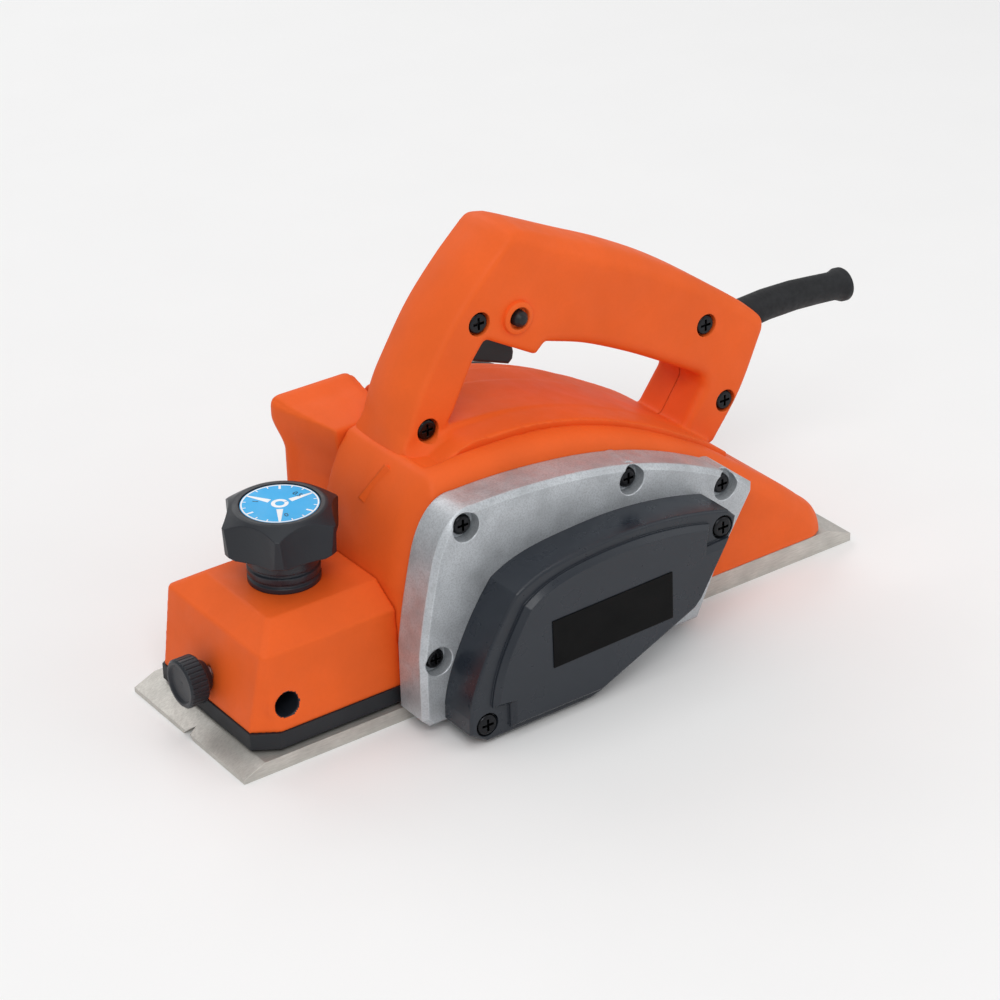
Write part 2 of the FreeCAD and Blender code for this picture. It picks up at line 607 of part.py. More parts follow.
def grooved_pulley(label, place, rim, hub_bore, first_y):
    """Belt pulley with two flanges and four grooves, its axis along Y."""
    pulley = Piece(label, x=place[0], z=place[1])
    y = first_y
    profile = [(hub_bore, y), (rim + 1.6, y), (rim + 1.6, y + 1.2), (rim, y + 1.6)]
    for k in range(4):
        start = y + 1.6 + 1.7 * k
        profile += [(rim - 1.0, start + 0.85), (rim, start + 1.7)]
    profile += [(rim + 1.6, y + 8.8), (rim + 1.6, y + 10), (hub_bore, y + 10)]
    pulley.revolve(profile, "XY_Plane", "V_Axis")
    return pulley


drum_place = ("sizes.drum_x", "sizes.drum_height")
motor_place = ("sizes.motor_x", "sizes.motor_height")
DRUM_RIM, MOTOR_RIM = 16.0, 12.5
grooved_pulley("drum_pulley", drum_place, DRUM_RIM, 6.0, -70)
grooved_pulley("motor_pulley", motor_place, MOTOR_RIM, 5.0, -70)


def hex_nut(label, place, across, bore, first_y, thick):
    nut = Piece(label, x=place[0], z=place[1])
    corners = [turned([(across / math.sqrt(3), 0)], 60 * k)[0] for k in range(6)]
    nut.pad(nut.polygon("XZ_Plane", -first_y, corners), thick)
    nut.pocket(nut.circles("XZ_Plane", -first_y - 1, [(0, 0, bore)]), thick + 2)
    return nut


hex_nut("drum_pulley_nut", drum_place, 17, 6.0, -70, 4.2)
hex_nut("motor_pulley_nut", motor_place, 14, 5.0, -70, 4.2)


def belt_loop(extra):
    """Wire around both pulleys, running this far outside their rims."""
    (ax, az), (bx, bz) = drum_centre, motor_centre
    ra, rb = DRUM_RIM + extra, MOTOR_RIM + extra
    span, lean = math.hypot(bx - ax, bz - az), math.atan2(bz - az, bx - ax)
    spread = math.acos((ra - rb) / span)

    def on(cx, cz, r, angle):
        return V(cx + r * math.cos(angle), 0, cz + r * math.sin(angle))

    high, low = lean + spread, lean - spread
    return Part.Wire([
        Part.LineSegment(on(ax, az, ra, high), on(bx, bz, rb, high)).toShape(),
        Part.Arc(on(bx, bz, rb, high), on(bx, bz, rb, lean), on(bx, bz, rb, low)).toShape(),
        Part.LineSegment(on(bx, bz, rb, low), on(ax, az, ra, low)).toShape(),
        Part.Arc(on(ax, az, ra, low), on(ax, az, ra, lean + math.pi), on(ax, az, ra, high)).toShape()])


belt_face = Part.Face(belt_loop(1.5)).cut(Part.Face(belt_loop(0.05)))
belt = belt_face.extrude(V(0, -6.8, 0))
belt.translate(V(0, -61.6, 0))
solid_group("drive_belt", [belt])

# ---------------------------------------------------------------- handle

FINGER_GAP = [
    [(-36, 102.4), (-23.5, 126)],
    [(-23.5, 126), (-17.5, 134)],
    [(-17.5, 134), (6, 120.5)],
    [(6, 120.5), (11, 124.3)],
    [(11, 124.3), (31, 117.2), (52, 107.2), (69, 97.8), (86, 88)],
    [(86, 88), (89.6, 85), (89.8, 80.6)],
    [(89.8, 80.6), (79.5, 65.6)],
    [(79.5, 65.6), (62, 75.8), (46, 84.2), (21, 94.2), (-4, 100.2), (-36, 102.4)],
]
GRIP_FRONT = [(-59.5, 98.3), (-56.5, 107), (-52.5, 118), (-46.5, 128.5), (-35, 146), (-20, 162.5), (-8, 173)]
GRIP_TOP = [(2, 174.2), (30, 160.8), (55, 149), (80, 134.5), (109, 113.8), (118.5, 105.8)]


def top_at(x):
    """Height of the body top line at an x position."""
    for (x1, z1), (x2, z2) in zip(top_line, top_line[1:]):
        if x1 <= x <= x2:
            return z1 + (z2 - z1) * (x - x1) / (x2 - x1)
    return top_line[-1][1]


base_line = [(x, top_at(x) + 0.5) for x in range(88, -57, -6)]
grip_outline = [GRIP_FRONT, [(-8, 173), (-3.5, 175.4), (2, 174.2)], GRIP_TOP,
                [(118.5, 105.8), (122, 101.8), (122, 97)], [(122, 97), (110, 73.5), (95.5, 54.3)]]
foot = [(95.5, 54.3), (91, 56.5)] + base_line + [(-59.5, 98.3)]
grip_outline += [[foot[i], foot[i + 1]] for i in range(len(foot) - 1)]
strip_top = [(x, z + 2) for x, z in top_line if -57 < x < 91]
strip_points = under_top(2.95, -57, 91, 40)[1:-1] + [(91, top_at(91) + 2)] + strip_top[::-1]
strip_points += [(-57, top_at(-57) + 2)]


def handle_half(label, side):
    """Half of the D handle; side is -1 for the belt side and +1 for the far side."""
    half = Piece(label)
    far = side > 0
    deep = size("handle_half_width")
    grip = half.pad(half.outline("XZ_Plane", 0, grip_outline), "sizes.handle_half_width", reverse=far)

    half.dress("Fillet", grip,
               lambda box: at_y(side * deep)(box) and (box.ZMax > 106 or box.XMax > 118), 6.0)
    half.pad(half.polygon("XZ_Plane", 0, strip_points), "sizes.handle_base_half_width", reverse=far)
    half.pocket(half.outline("XZ_Plane", 0, FINGER_GAP), 40, reverse=far)
    gap_points = sampled(FINGER_GAP)
    shell_outer = inset(sampled(grip_outline), 3.2)
    sk = half.polygon("XZ_Plane", 0, shell_outer)
    first = sk.GeometryCount
    around_gap = inset(gap_points, -3.0)
    for i, point in enumerate(around_gap):
        sk.addGeometry(Part.LineSegment(V(*point, 0), V(*around_gap[(i + 1) % len(around_gap)], 0)), False)
        sk.addConstraint(Sketcher.Constraint("Block", first + i))
    half.pocket(sk, deep - size("wall"), reverse=far)
    half.pad(half.circles("XZ_Plane", 0, [(u, v, 6.3) for u, v in HANDLE_SCREWS]), 13.5, reverse=far)
    half.pad(half.polygon("XZ_Plane", 0, rectangle(97, 88.5, 107, 93)), 14, reverse=far)
    screw_holes = half.circles("XZ_Plane", side, [(u, v, 2.05) for u, v in HANDLE_SCREWS])
    half.pocket(screw_holes, 10.5 if far else 16, reverse=far)
    slot = [(-23, 117), (4.8, 117), (4.8, 128), (-13, 140), (-23, 136)]
    half.pocket(half.polygon("XZ_Plane", 0, slot), 7.2, reverse=far)
    half.pocket(half.circles("YZ_Plane", 112, [(0, 98.3, 7.0)]), 14)
    return half


handle_left = handle_half("handle_left", -1)
handle_left.pocket(handle_left.circles("XZ_Plane", 13.2, [(u, v, 4.9) for u, v in HANDLE_SCREWS]), 6)
handle_left.pad(handle_left.circles("XZ_Plane", 14.5, [(-3, 139.5, 6.4)]), 3)
handle_left.pocket(handle_left.circles("XZ_Plane", 12, [(-3, 139.5, 3.3)]), 8)
handle_right = handle_half("handle_right", 1)
handle_right.pocket(handle_right.polygon("XZ_Plane", -17.5, CHUTE_NOTCH), 15, reverse=True)

handle_screw = cross_screw(4.2, 2.4, 2.0, 21)
solid_group("handle_screws", [placed(handle_screw, (u, -13.2, v), (0, -1, 0)) for u, v in HANDLE_SCREWS])

lock_button = Piece("lock_button", x=-3, z=139.5)
lock_button.revolve([(0, -20.5), (1.8, -20.2), (3.0, -19.0), (3.2, -18.4), (3.2, -12.6), (5.0, -12.6),
                     (5.0, -11.4), (2.0, -11.4), (2.0, -4.5), (0, -4.5)], "XY_Plane", "V_Axis")
lock_spring = coil_spring(3.2, 0.4, 9.5, 5)
solid_group("lock_spring", [placed(lock_spring, (-3, -11.2, 139.5), (0, 1, 0))])

trigger = Piece("trigger")
trigger_side = [(-19.5, 122.2), (-0.5, 115.2), (1.5, 117), (2.0, 120), (0, 129), (-7.5, 135.4),
                (-8.6, 139.6), (-12.5, 141), (-15.2, 137.5), (-20.0, 130.0)]
slab = trigger.pad(trigger.polygon("XZ_Plane", 0, trigger_side), 13.6, both_ways=True)
trigger.dress("Fillet", slab, lambda box: abs(box.YMax - box.YMin) < 0.01 and box.ZMax < 130, 1.2)
trigger.pocket(trigger.circles("XZ_Plane", 0, [(-12, 137.5, 1.55)]), 40, both_ways=True)
solid_group("trigger_pin", [rod(1.5, 25.8, (-12, -12.9, 137.5), (0, 1, 0))])

switch_body = Piece("switch_body")
case = switch_body.pad(switch_body.polygon("XZ_Plane", 0, rectangle(8, 128, 34, 149)), 22, both_ways=True)
switch_body.dress("Chamfer", case, lambda box: abs(box.XMax - box.XMin) < 0.01 and box.ZMax > 148, 1.0)
plunger = rectangle(0.2, 131.6, 8.2, 135.6)
switch_body.pad(switch_body.polygon("XZ_Plane", 0, plunger), 5, both_ways=True)

capacitor = Piece("capacitor")
can = capacitor.pad(capacitor.polygon("XZ_Plane", 0, rectangle(44, 116, 66, 130)), 16, both_ways=True)
capacitor.dress("Fillet", can, lambda box: box.ZMin > 115, 1.0)

cord_guard = Piece("cord_guard", z=98.3)
guard_side = [(109.5, 3.8), (109.5, 7.8), (111.7, 7.8), (111.9, 6.7), (117, 6.6), (160, 6.3), (172, 6.2),
              (174.6, 7.0), (175.2, 7.3), (177.8, 7.3), (178.4, 6.8), (178.4, 3.8)]
cord_guard.revolve(guard_side, "XY_Plane", "H_Axis")

cord_clamp = Piece("cord_clamp")
cord_clamp.pad(cord_clamp.polygon("YZ_Plane", 98, rectangle(-11, 99, 11, 103.5)), 8)
cord_clamp.pocket(cord_clamp.circles("YZ_Plane", 97, [(0, 97.2, 4.2)]), 10)
cord_clamp.pocket(cord_clamp.circles("XY_Plane", 98, [(102, -8, 1.8), (102, 8, 1.8)]), 7)
clamp_screw = cross_screw(3.0, 2.0, 1.7, 10.3)
solid_group("cord_clamp_screws", [placed(clamp_screw, (102, y, 103.5), (0, 0, 1)) for y in (-8, 8)])

# ---------------------------------------------------------------- cutter drum

BLADE_SCREW_ROW = (-26, 0, 26)
cutter_drum = Piece("cutter_drum", drum_place[0], 0, drum_place[1])
r = size("drum_radius")
drum_side = [(0, -73.2), (5.2, -73.2), (6.0, -72.4), (6.0, -46), (8.5, -45.6), (8.5, -41.2), (r, -41),
             (r, 41), (8.5, 41.2), (8.5, 43.4), (5.97, 43.8), (5.97, 52), (0, 52)]
cutter_drum.revolve(drum_side, "XY_Plane", "V_Axis")
flat = size("blade_flat")
for angle in (0, 180):
    seat_cut = turned(rectangle(-30, flat, 30, 30), angle)
    cutter_drum.pocket(cutter_drum.polygon("XZ_Plane", 0, seat_cut), "sizes.drum_length", both_ways=True)
for sign in (-1, 1):
    holes = cutter_drum.circles("XY_Plane", 0, [(0, y, 2.5) for y in BLADE_SCREW_ROW])
    cutter_drum.pocket(holes, flat + 1, reverse=sign < 0)


def drum_strip(low, thick, u1, u2, nose):
    """A bar along the drum, lying on its flat; nose is the length of the cutting bevel."""
    profile = [(u1, low), (u2, low), (u2 - nose, low + thick), (u1, low + thick)]
    face = Part.Face(Part.makePolygon([V(u, -size("drum_length") / 2, w) for u, w in profile]
                                      + [V(u1, -size("drum_length") / 2, low)]))
    bar = face.extrude(V(0, size("drum_length"), 0))
    for y in BLADE_SCREW_ROW:
        bar = bar.cut(rod(2.6, thick + 2, (0, y, low - 1), (0, 0, 1)))
    return bar


def on_drum(shape):
    """The shape in both places on the drum, half a turn apart."""
    copies = []
    for angle in (0, 180):
        copy = shape.copy()
        copy.rotate(V(0, 0, 0), V(0, 1, 0), angle)
        copy.translate(V(drum_centre[0], 0, drum_centre[1]))
        copies.append(copy)
    return copies


blade_t, clamp_t = size("blade_thickness"), size("clamp_thickness")
solid_group("blades", on_drum(drum_strip(flat, blade_t, -9.0, 19.2, 3.2)))
solid_group("blade_clamps", on_drum(drum_strip(flat + blade_t, clamp_t, -9.0, 9.5, 1.5)))
blade_screw = Part.makeCylinder(4.2, 1.8).cut(Part.makeCylinder(1.6, 1.2, V(0, 0, 0.8)))
blade_screw = blade_screw.fuse(Part.makeCylinder(2.5, 15, V(0, 0, -15)))
blade_screws = []
for y in BLADE_SCREW_ROW:
    blade_screws += on_drum(placed(blade_screw, (0, y, flat + blade_t + clamp_t), (0, 0, 1)))
solid_group("blade_screws", blade_screws)


def ball_bearing(centre, first_y, bore, outside, wide):
    """Closed bearing: outer ring, shield and inner ring as one solid."""
    depth = (outside - bore) / 2
    profile = [(bore / 2, 0), (bore / 2 + depth * 0.3, 0), (bore / 2 + depth * 0.34, 0.5),
               (outside / 2 - depth * 0.3, 0.5), (outside / 2 - depth * 0.26, 0), (outside / 2, 0)]
    mirrored = [(u, wide - w) for u, w in profile[::-1]]
    ring = Part.Face(Part.makePolygon([V(u, w, 0) for u, w in profile + mirrored + profile[:1]]))
    bearing = ring.revolve(V(0, 0, 0), V(0, 1, 0), 360)
    bearing.translate(V(centre[0], first_y, centre[1]))
    return bearing


solid_group("drum_bearings", [ball_bearing(drum_centre, -55, 12.06, 28, 8),
                              ball_bearing(drum_centre, 44, 12.0, 28, 8)])

# ---------------------------------------------------------------- motor

at_motor = (motor_place[0], 0, motor_place[1])
motor_shaft = Piece("motor_shaft", *at_motor)
motor_shaft.revolve([(0, -73.2), (4.3, -73.2), (4.97, -72.4), (4.97, -46), (6.5, -45.6), (6.5, 62),
                     (3.47, 62.4), (3.47, 72), (0, 72)], "XY_Plane", "V_Axis")

rotor_core = Piece("rotor_core", *at_motor)
stack = rotor_core.pad(rotor_core.circles("XZ_Plane", 10, [(0, 0, "sizes.rotor_radius"), (0, 0, 6.5)]),
                       36, reverse=True)
tooth_gap = rotor_core.polygon("XZ_Plane", 12, rectangle(14.0, -0.9, 19, 0.9))
rotor_core.around(rotor_core.pocket(tooth_gap, 40, reverse=True), "Y_Axis", 12)


def ring_solid(profile, centre):
    face = Part.Face(Part.makePolygon([V(u, w, 0) for u, w in profile + profile[:1]]))
    ring = face.revolve(V(0, 0, 0), V(0, 1, 0), 360)
    ring.translate(V(centre[0], 0, centre[1]))
    return ring


winding_ends = [[(6.5, -20), (13, -20), (15.5, -17), (15.5, -10.02), (6.5, -10.02)],
                [(6.5, 26.02), (15.5, 26.02), (15.5, 33), (13, 36), (6.5, 36)]]
solid_group("rotor_windings", [ring_solid(profile, motor_centre) for profile in winding_ends])

commutator = Piece("commutator", *at_motor)
commutator.revolve([(6.5, 42), (12.5, 42), (12.5, 45), (11, 45.6), (11, 61), (6.5, 61)],
                   "XY_Plane", "V_Axis")
bar_gap = commutator.polygon("XZ_Plane", -45, rectangle(10.2, -0.25, 12, 0.25))
commutator.around(commutator.pocket(bar_gap, 17, reverse=True), "Y_Axis", 20)

cooling_fan = Piece("cooling_fan", *at_motor)
cooling_fan.revolve([(6.5, -38), (28.4, -38), (28.4, -36.6), (10, -36.2), (9, -26), (6.5, -26)],
                    "XY_Plane", "V_Axis")
vane = cooling_fan.polygon("XZ_Plane", 37.4, turned(rectangle(8.2, -0.7, 27.6, 0.7), 12, (18, 0)))
cooling_fan.around(cooling_fan.pad(vane, 10, reverse=True), "Y_Axis", 11)

stator_core = Piece("stator_core", *at_motor)
stator_core.pad(stator_core.circles("XZ_Plane", 8, [(0, 0, "sizes.stator_radius"), (0, 0, 18.2)]), 32,
                reverse=True)
for sign in (-1, 1):
    arch = turned([(18.5, -10), (26.5, -13), (26.5, 13), (18.5, 10), (15, 6), (15, -6)],
                  90 if sign > 0 else -90)
    stator_core.pocket(stator_core.polygon("XZ_Plane", 9, arch), 34, reverse=True)


def coil_end(first_y, last_y):
    """One loop end of a field coil, above or below the rotor."""
    ring = Part.makeCylinder(26, last_y - first_y, V(0, first_y, 0), V(0, 1, 0))
    ring = ring.cut(Part.makeCylinder(19, last_y - first_y, V(0, first_y, 0), V(0, 1, 0)))
    keep = Part.makeBox(44, last_y - first_y, 60, V(-22, first_y, 4))
    return ring.common(keep)


field_coils = []
for angle in (0, 180):
    for first_y, last_y in ((-13.5, -8.02), (24.02, 30)):
        loop = coil_end(first_y, last_y)
        loop.rotate(V(0, 0, 0), V(0, 1, 0), angle)
        loop.translate(V(motor_centre[0], 0, motor_centre[1]))
        field_coils.append(loop)
solid_group("field_coils", field_coils)

air_baffle = Piece("air_baffle", *at_motor)
air_baffle.revolve([(20, -23), (31.4, -23), (31.4, -15), (29.9, -15), (29.9, -21.4), (20, -21.4)],
                   "XY_Plane", "V_Axis")

holders, brushes, brush_springs, caps = [], [], [], []
for sign in (-1, 1):
    tube = Part.makeBox(18.0, 9, 10.4, V(12.4, 49.5, -5.2)).cut(Part.makeBox(20, 6.6, 8.0, V(12, 50.7, -4.0)))
    brush = Part.makeBox(13.9, 6.4, 7.8, V(11.1, 50.8, -3.9))
    spring = placed(coil_spring(2.4, 0.4, 5.9, 3.5), (25.1, 54, 0), (1, 0, 0))
    cap = Part.makeCylinder(6.1, 3.2, V(31.1, 54, 0), V(1, 0, 0))
    cap = cap.fuse(Part.makeCylinder(7.0, 1.8, V(34.2, 54, 0), V(1, 0, 0)))
    cap = cap.cut(Part.makeBox(2, 2, 9, V(35.2, 53, -4.5)))
    for store, shape in ((holders, tube), (brushes, brush), (brush_springs, spring), (caps, cap)):
        if sign < 0:
            shape.rotate(V(0, 54, 0), V(0, 1, 0), 180)
        shape.translate(V(motor_centre[0], 0, motor_centre[1]))
        store.append(shape)
solid_group("brush_holders", holders)
solid_group("carbon_brushes", brushes)
solid_group("brush_springs", brush_springs)
solid_group("brush_caps", caps)

motor_end_cap = Piece("motor_end_cap", *at_motor)
motor_end_cap.revolve([(30.6, 62), (34.0, 62), (34.0, 68), (32.5, 72.5), (29, 75.6), (25, 76.6), (0, 76.6),
                       (0, 73), (9.5, 73), (9.5, 64.5), (12, 64.5), (12, 73.6), (24, 73.6), (28, 72.4),
                       (30.6, 69)], "XY_Plane", "V_Axis")
cap_ears = [(u - motor_centre[0], v - motor_centre[1]) for u, v in ear_places]
motor_end_cap.pad(motor_end_cap.circles("XZ_Plane", -62, [(u, v, 4.2) for u, v in cap_ears]), 5,
                  reverse=True)
motor_end_cap.pocket(motor_end_cap.circles("XZ_Plane", -61, [(u, v, 1.7) for u, v in cap_ears]), 8,
                     reverse=True)
vent = motor_end_cap.polygon("XZ_Plane", -70, rectangle(14.5, -1.6, 24.5, 1.6))
motor_end_cap.around(motor_end_cap.pocket(vent, 8, reverse=True), "Y_Axis", 12)

ear_screw = cross_screw(3.0, 2.2, 1.5, 15)
solid_group("end_cap_screws", [placed(ear_screw, (u, 67, v), (0, 1, 0)) for u, v in ear_places])
solid_group("motor_bearings", [ball_bearing(motor_centre, -55, 10.0, 26, 8),
                               ball_bearing(motor_centre, 65.8, 7.0, 19, 6)])

# ---------------------------------------------------------------- check and write

doc.recompute()
for obj in doc.Objects:
    if "Invalid" in obj.State or "Error" in obj.State:
        raise ValueError("%s did not rebuild" % obj.Name)
    if obj.TypeId not in ("PartDesign::Body", "Part::Feature"):
        continue
    if obj.Shape.isNull() or not obj.Shape.isValid() or not obj.Shape.Solids:
        raise ValueError("%s has no sound solid" % obj.Label)
    obj.Shape.exportStep("parts/%s.step" % obj.Label)
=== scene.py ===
"""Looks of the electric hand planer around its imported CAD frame.

The frame is in metres. Shapes here are worked out in millimetres and scaled by MM: x runs to the
rear, -y is the belt cover's side and z is up.
"""
import json
import math

import bmesh
import bpy
import numpy as np
from mathutils import Matrix, Vector


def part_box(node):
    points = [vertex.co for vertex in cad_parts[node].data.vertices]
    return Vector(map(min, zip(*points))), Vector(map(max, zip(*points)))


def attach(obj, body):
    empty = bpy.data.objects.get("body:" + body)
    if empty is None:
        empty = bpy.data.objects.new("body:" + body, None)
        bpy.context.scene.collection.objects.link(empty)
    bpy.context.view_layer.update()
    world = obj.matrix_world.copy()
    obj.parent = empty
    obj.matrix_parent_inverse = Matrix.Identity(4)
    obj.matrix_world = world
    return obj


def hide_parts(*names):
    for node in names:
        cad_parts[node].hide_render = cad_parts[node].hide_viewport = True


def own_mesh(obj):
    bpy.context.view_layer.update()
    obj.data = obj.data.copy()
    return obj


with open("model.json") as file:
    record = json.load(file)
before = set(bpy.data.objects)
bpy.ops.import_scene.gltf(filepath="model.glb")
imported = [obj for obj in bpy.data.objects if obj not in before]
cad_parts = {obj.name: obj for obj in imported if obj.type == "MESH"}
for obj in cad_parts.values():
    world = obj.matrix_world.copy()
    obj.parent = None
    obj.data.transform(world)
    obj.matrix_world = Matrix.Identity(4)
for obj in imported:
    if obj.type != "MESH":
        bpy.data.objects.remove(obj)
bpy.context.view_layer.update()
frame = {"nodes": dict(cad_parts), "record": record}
nodes = frame["nodes"]
MM = 0.001


# ---------------------------------------------------------------- materials

class Shader:
    """One material: a Principled shader and small helpers that add nodes to its tree."""

    def __init__(self, name, color, roughness, metallic=0.0, specular=0.5, coat=0.0):
        self.material = bpy.data.materials.new(name)
        self.material.use_nodes = True
        self.tree = self.material.node_tree
        self.main = self.tree.nodes["Principled BSDF"]
        self.main.inputs["Metallic"].default_value = metallic
        self.main.inputs["Roughness"].default_value = roughness
        self.main.inputs["Specular IOR Level"].default_value = specular
        self.main.inputs["Coat Weight"].default_value = coat
        self.main.inputs["Base Color"].default_value = (*color, 1.0)
        self.coordinates = self.add("ShaderNodeTexCoord").outputs["Object"]

    def add(self, kind, **settings):
        node = self.tree.nodes.new(kind)
        for key, value in settings.items():
            setattr(node, key, value)
        return node

    def join(self, output, target):
        self.tree.links.new(output, target)

    def math(self, operation, first, second):
        node = self.add("ShaderNodeMath", operation=operation)
        for socket, value in zip(node.inputs, (first, second)):
            if isinstance(value, (int, float)):
                socket.default_value = value
            else:
                self.join(value, socket)
        return node.outputs[0]

    def stretched(self, scale):
        node = self.add("ShaderNodeMapping")
        node.inputs["Scale"].default_value = scale
        self.join(self.coordinates, node.inputs["Vector"])
        return node.outputs[0]

    def noise(self, size_mm, detail=2.0, vector=None):
        """Noise whose blobs are about this many millimetres across, from 0 to 1."""
        node = self.add("ShaderNodeTexNoise")
        node.inputs["Scale"].default_value = 1.0 / (size_mm * MM)
        node.inputs["Detail"].default_value = detail
        self.join(vector or self.coordinates, node.inputs["Vector"])
        return node.outputs["Fac"]

    def ramp(self, value, stops):
        """Map a value to colours: stops are (position, (r, g, b))."""
        node = self.add("ShaderNodeValToRGB")
        ramp = node.color_ramp
        while len(ramp.elements) < len(stops):
            ramp.elements.new(0.5)
        for element, (place, color) in zip(ramp.elements, stops):
            element.position = place
            element.color = (*color, 1.0)
        self.join(value, node.inputs[0])
        return node.outputs[0]

    def between(self, value, low, high, from_low, from_high):
        """Map a value's range to another one, held at both ends."""
        node = self.add("ShaderNodeMapRange")
        node.inputs["From Min"].default_value = from_low
        node.inputs["From Max"].default_value = from_high
        node.inputs["To Min"].default_value = low
        node.inputs["To Max"].default_value = high
        self.join(value, node.inputs["Value"])
        return node.outputs[0]

    def mix(self, share, first, second):
        """Mix two colours; the sockets are the factor and the two colour inputs."""
        node = self.add("ShaderNodeMix", data_type="RGBA")
        for place, value in ((0, share), (6, first), (7, second)):
            socket = node.inputs[place]
            if isinstance(value, tuple):
                socket.default_value = (*value, 1.0)
            elif isinstance(value, (int, float)):
                socket.default_value = value
            else:
                self.join(value, socket)
        return node.outputs[2]

    def soft_edges(self, radius_mm):
        """Normals rounded over sharp edges, and a mask that is 1 on those edges."""
        rounded = self.add("ShaderNodeBevel", samples=6)
        rounded.inputs["Radius"].default_value = radius_mm * MM
        flat = self.add("ShaderNodeNewGeometry").outputs["Normal"]
        dot = self.add("ShaderNodeVectorMath", operation="DOT_PRODUCT")
        self.join(rounded.outputs[0], dot.inputs[0])
        self.join(flat, dot.inputs[1])
        mask = self.between(dot.outputs["Value"], 1.0, 0.0, 0.80, 0.985)
        return rounded.outputs[0], mask

    def bump(self, height, depth_mm, normal=None):
        node = self.add("ShaderNodeBump")
        node.inputs["Strength"].default_value = 1.0
        node.inputs["Distance"].default_value = depth_mm * MM
        self.join(height, node.inputs["Height"])
        if normal is not None:
            self.join(normal, node.inputs["Normal"])
        return node.outputs[0]

    def finish(self, color=None, roughness=None, normal=None):
        for output, name in ((color, "Base Color"), (roughness, "Roughness"), (normal, "Normal")):
            if output is not None:
                self.join(output, self.main.inputs[name])
        return self.material


def tint(color, factor):
    return tuple(min(1.0, c * factor) for c in color)


def moulded_plastic(name, color, roughness, grain_mm=0.35, grain_depth=0.012, edge_mm=0.5,
                    worn=0.35, specular=0.5):
    """Fine spark-eroded plastic: a pebbled grain, cloudy colour and slightly rubbed edges."""
    s = Shader(name, color, roughness, specular=specular)
    rounded, edge = s.soft_edges(edge_mm) if edge_mm else (None, 0.0)
    cloud = s.noise(28, 3.0)
    fine = s.noise(1.6, 2.0)
    base = s.ramp(cloud, [(0.3, tint(color, 0.94)), (0.7, tint(color, 1.05))])
    base = s.mix(s.between(fine, 0.0, 0.14, 0.35, 0.75), base, tint(color, 0.86))
    rubbed = s.math("MULTIPLY", edge, s.between(s.noise(5, 3.0), 0.0, worn, 0.3, 0.7))
    base = s.mix(rubbed, base, tint(tuple(c + 0.03 for c in color), 1.45))
    rough = s.between(s.noise(9, 4.0), roughness - 0.06, roughness + 0.07, 0.3, 0.7)
    rough = s.math("SUBTRACT", rough, s.math("MULTIPLY", rubbed, 0.25))
    pebbles = s.math("ADD", s.noise(grain_mm, 3.0), s.math("MULTIPLY", s.noise(grain_mm * 3, 1.0), 0.6))
    return s.finish(base, rough, s.bump(pebbles, grain_depth, rounded))


def cast_metal(name, color, roughness):
    """Die-cast aluminium, blasted: speckled face, edges lightened as a painted highlight, cloudy dull
    patches.
    """
    s = Shader(name, color, roughness, metallic=0.55)
    rounded, edge = s.soft_edges(0.9)
    cloud = s.noise(14, 4.0)
    base = s.ramp(cloud, [(0.28, tint(color, 0.80)), (0.5, color), (0.74, tint(color, 1.12))])
    speck = s.between(s.noise(0.7, 3.0), 0.0, 1.0, 0.42, 0.66)
    base = s.mix(s.math("MULTIPLY", speck, 0.45), base, tint(color, 0.55))
    # Painted highlight: every edge is lightened in colour to stand for the light that catches it.
    base = s.mix(s.math("MULTIPLY", edge, 0.7), base, tint(color, 1.5))
    rough = s.between(s.noise(5, 4.0), roughness - 0.08, roughness + 0.10, 0.3, 0.7)
    rough = s.math("SUBTRACT", rough, s.math("MULTIPLY", edge, 0.15))
    pits = s.math("ADD", s.noise(0.45, 4.0), s.math("MULTIPLY", s.noise(2.2, 2.0), 0.7))
    return s.finish(base, rough, s.bump(pits, 0.035, rounded))


def milled_metal(name, color, roughness, along=(1.0, 1.0, 1.0), depth=0.010, metallic=1.0):
    """Machined or ground metal with fine scratches stretched along one axis."""
    s = Shader(name, color, roughness, metallic=metallic)
    rounded, edge = s.soft_edges(0.3)
    lines = s.noise(0.5, 5.0, s.stretched(along))
    wide = s.noise(10, 3.0)
    base = s.ramp(wide, [(0.3, tint(color, 0.86)), (0.7, tint(color, 1.08))])
    base = s.mix(s.between(lines, 0.0, 0.35, 0.4, 0.7), base, tint(color, 0.62))
    base = s.mix(s.math("MULTIPLY", edge, 0.6), base, tint(color, 1.35))
    rough = s.between(lines, roughness - 0.08, roughness + 0.12, 0.3, 0.7)
    return s.finish(base, rough, s.bump(lines, depth, rounded))


def rubber(name, color):
    s = Shader(name, color, 0.62, specular=0.35)
    rounded, edge = s.soft_edges(0.5)
    base = s.ramp(s.noise(6, 4.0), [(0.3, tint(color, 0.8)), (0.7, tint(color, 1.4))])
    base = s.mix(s.math("MULTIPLY", edge, 0.3), base, tint(color, 3.0))
    rough = s.between(s.noise(2, 3.0), 0.52, 0.72, 0.3, 0.7)
    return s.finish(base, rough, s.bump(s.noise(0.3, 3.0), 0.012, rounded))


def wound_copper(name):
    s = Shader(name, (0.62, 0.24, 0.10), 0.32, metallic=0.9, coat=0.4)
    wires = s.add("ShaderNodeTexWave", wave_type="RINGS", rings_direction="Y")
    wires.inputs["Scale"].default_value = 420.0
    wires.inputs["Distortion"].default_value = 1.2
    s.join(s.coordinates, wires.inputs["Vector"])
    base = s.ramp(wires.outputs["Fac"], [(0.1, (0.30, 0.10, 0.04)), (0.7, (0.72, 0.30, 0.13))])
    return s.finish(base, None, s.bump(wires.outputs["Fac"], 0.15))


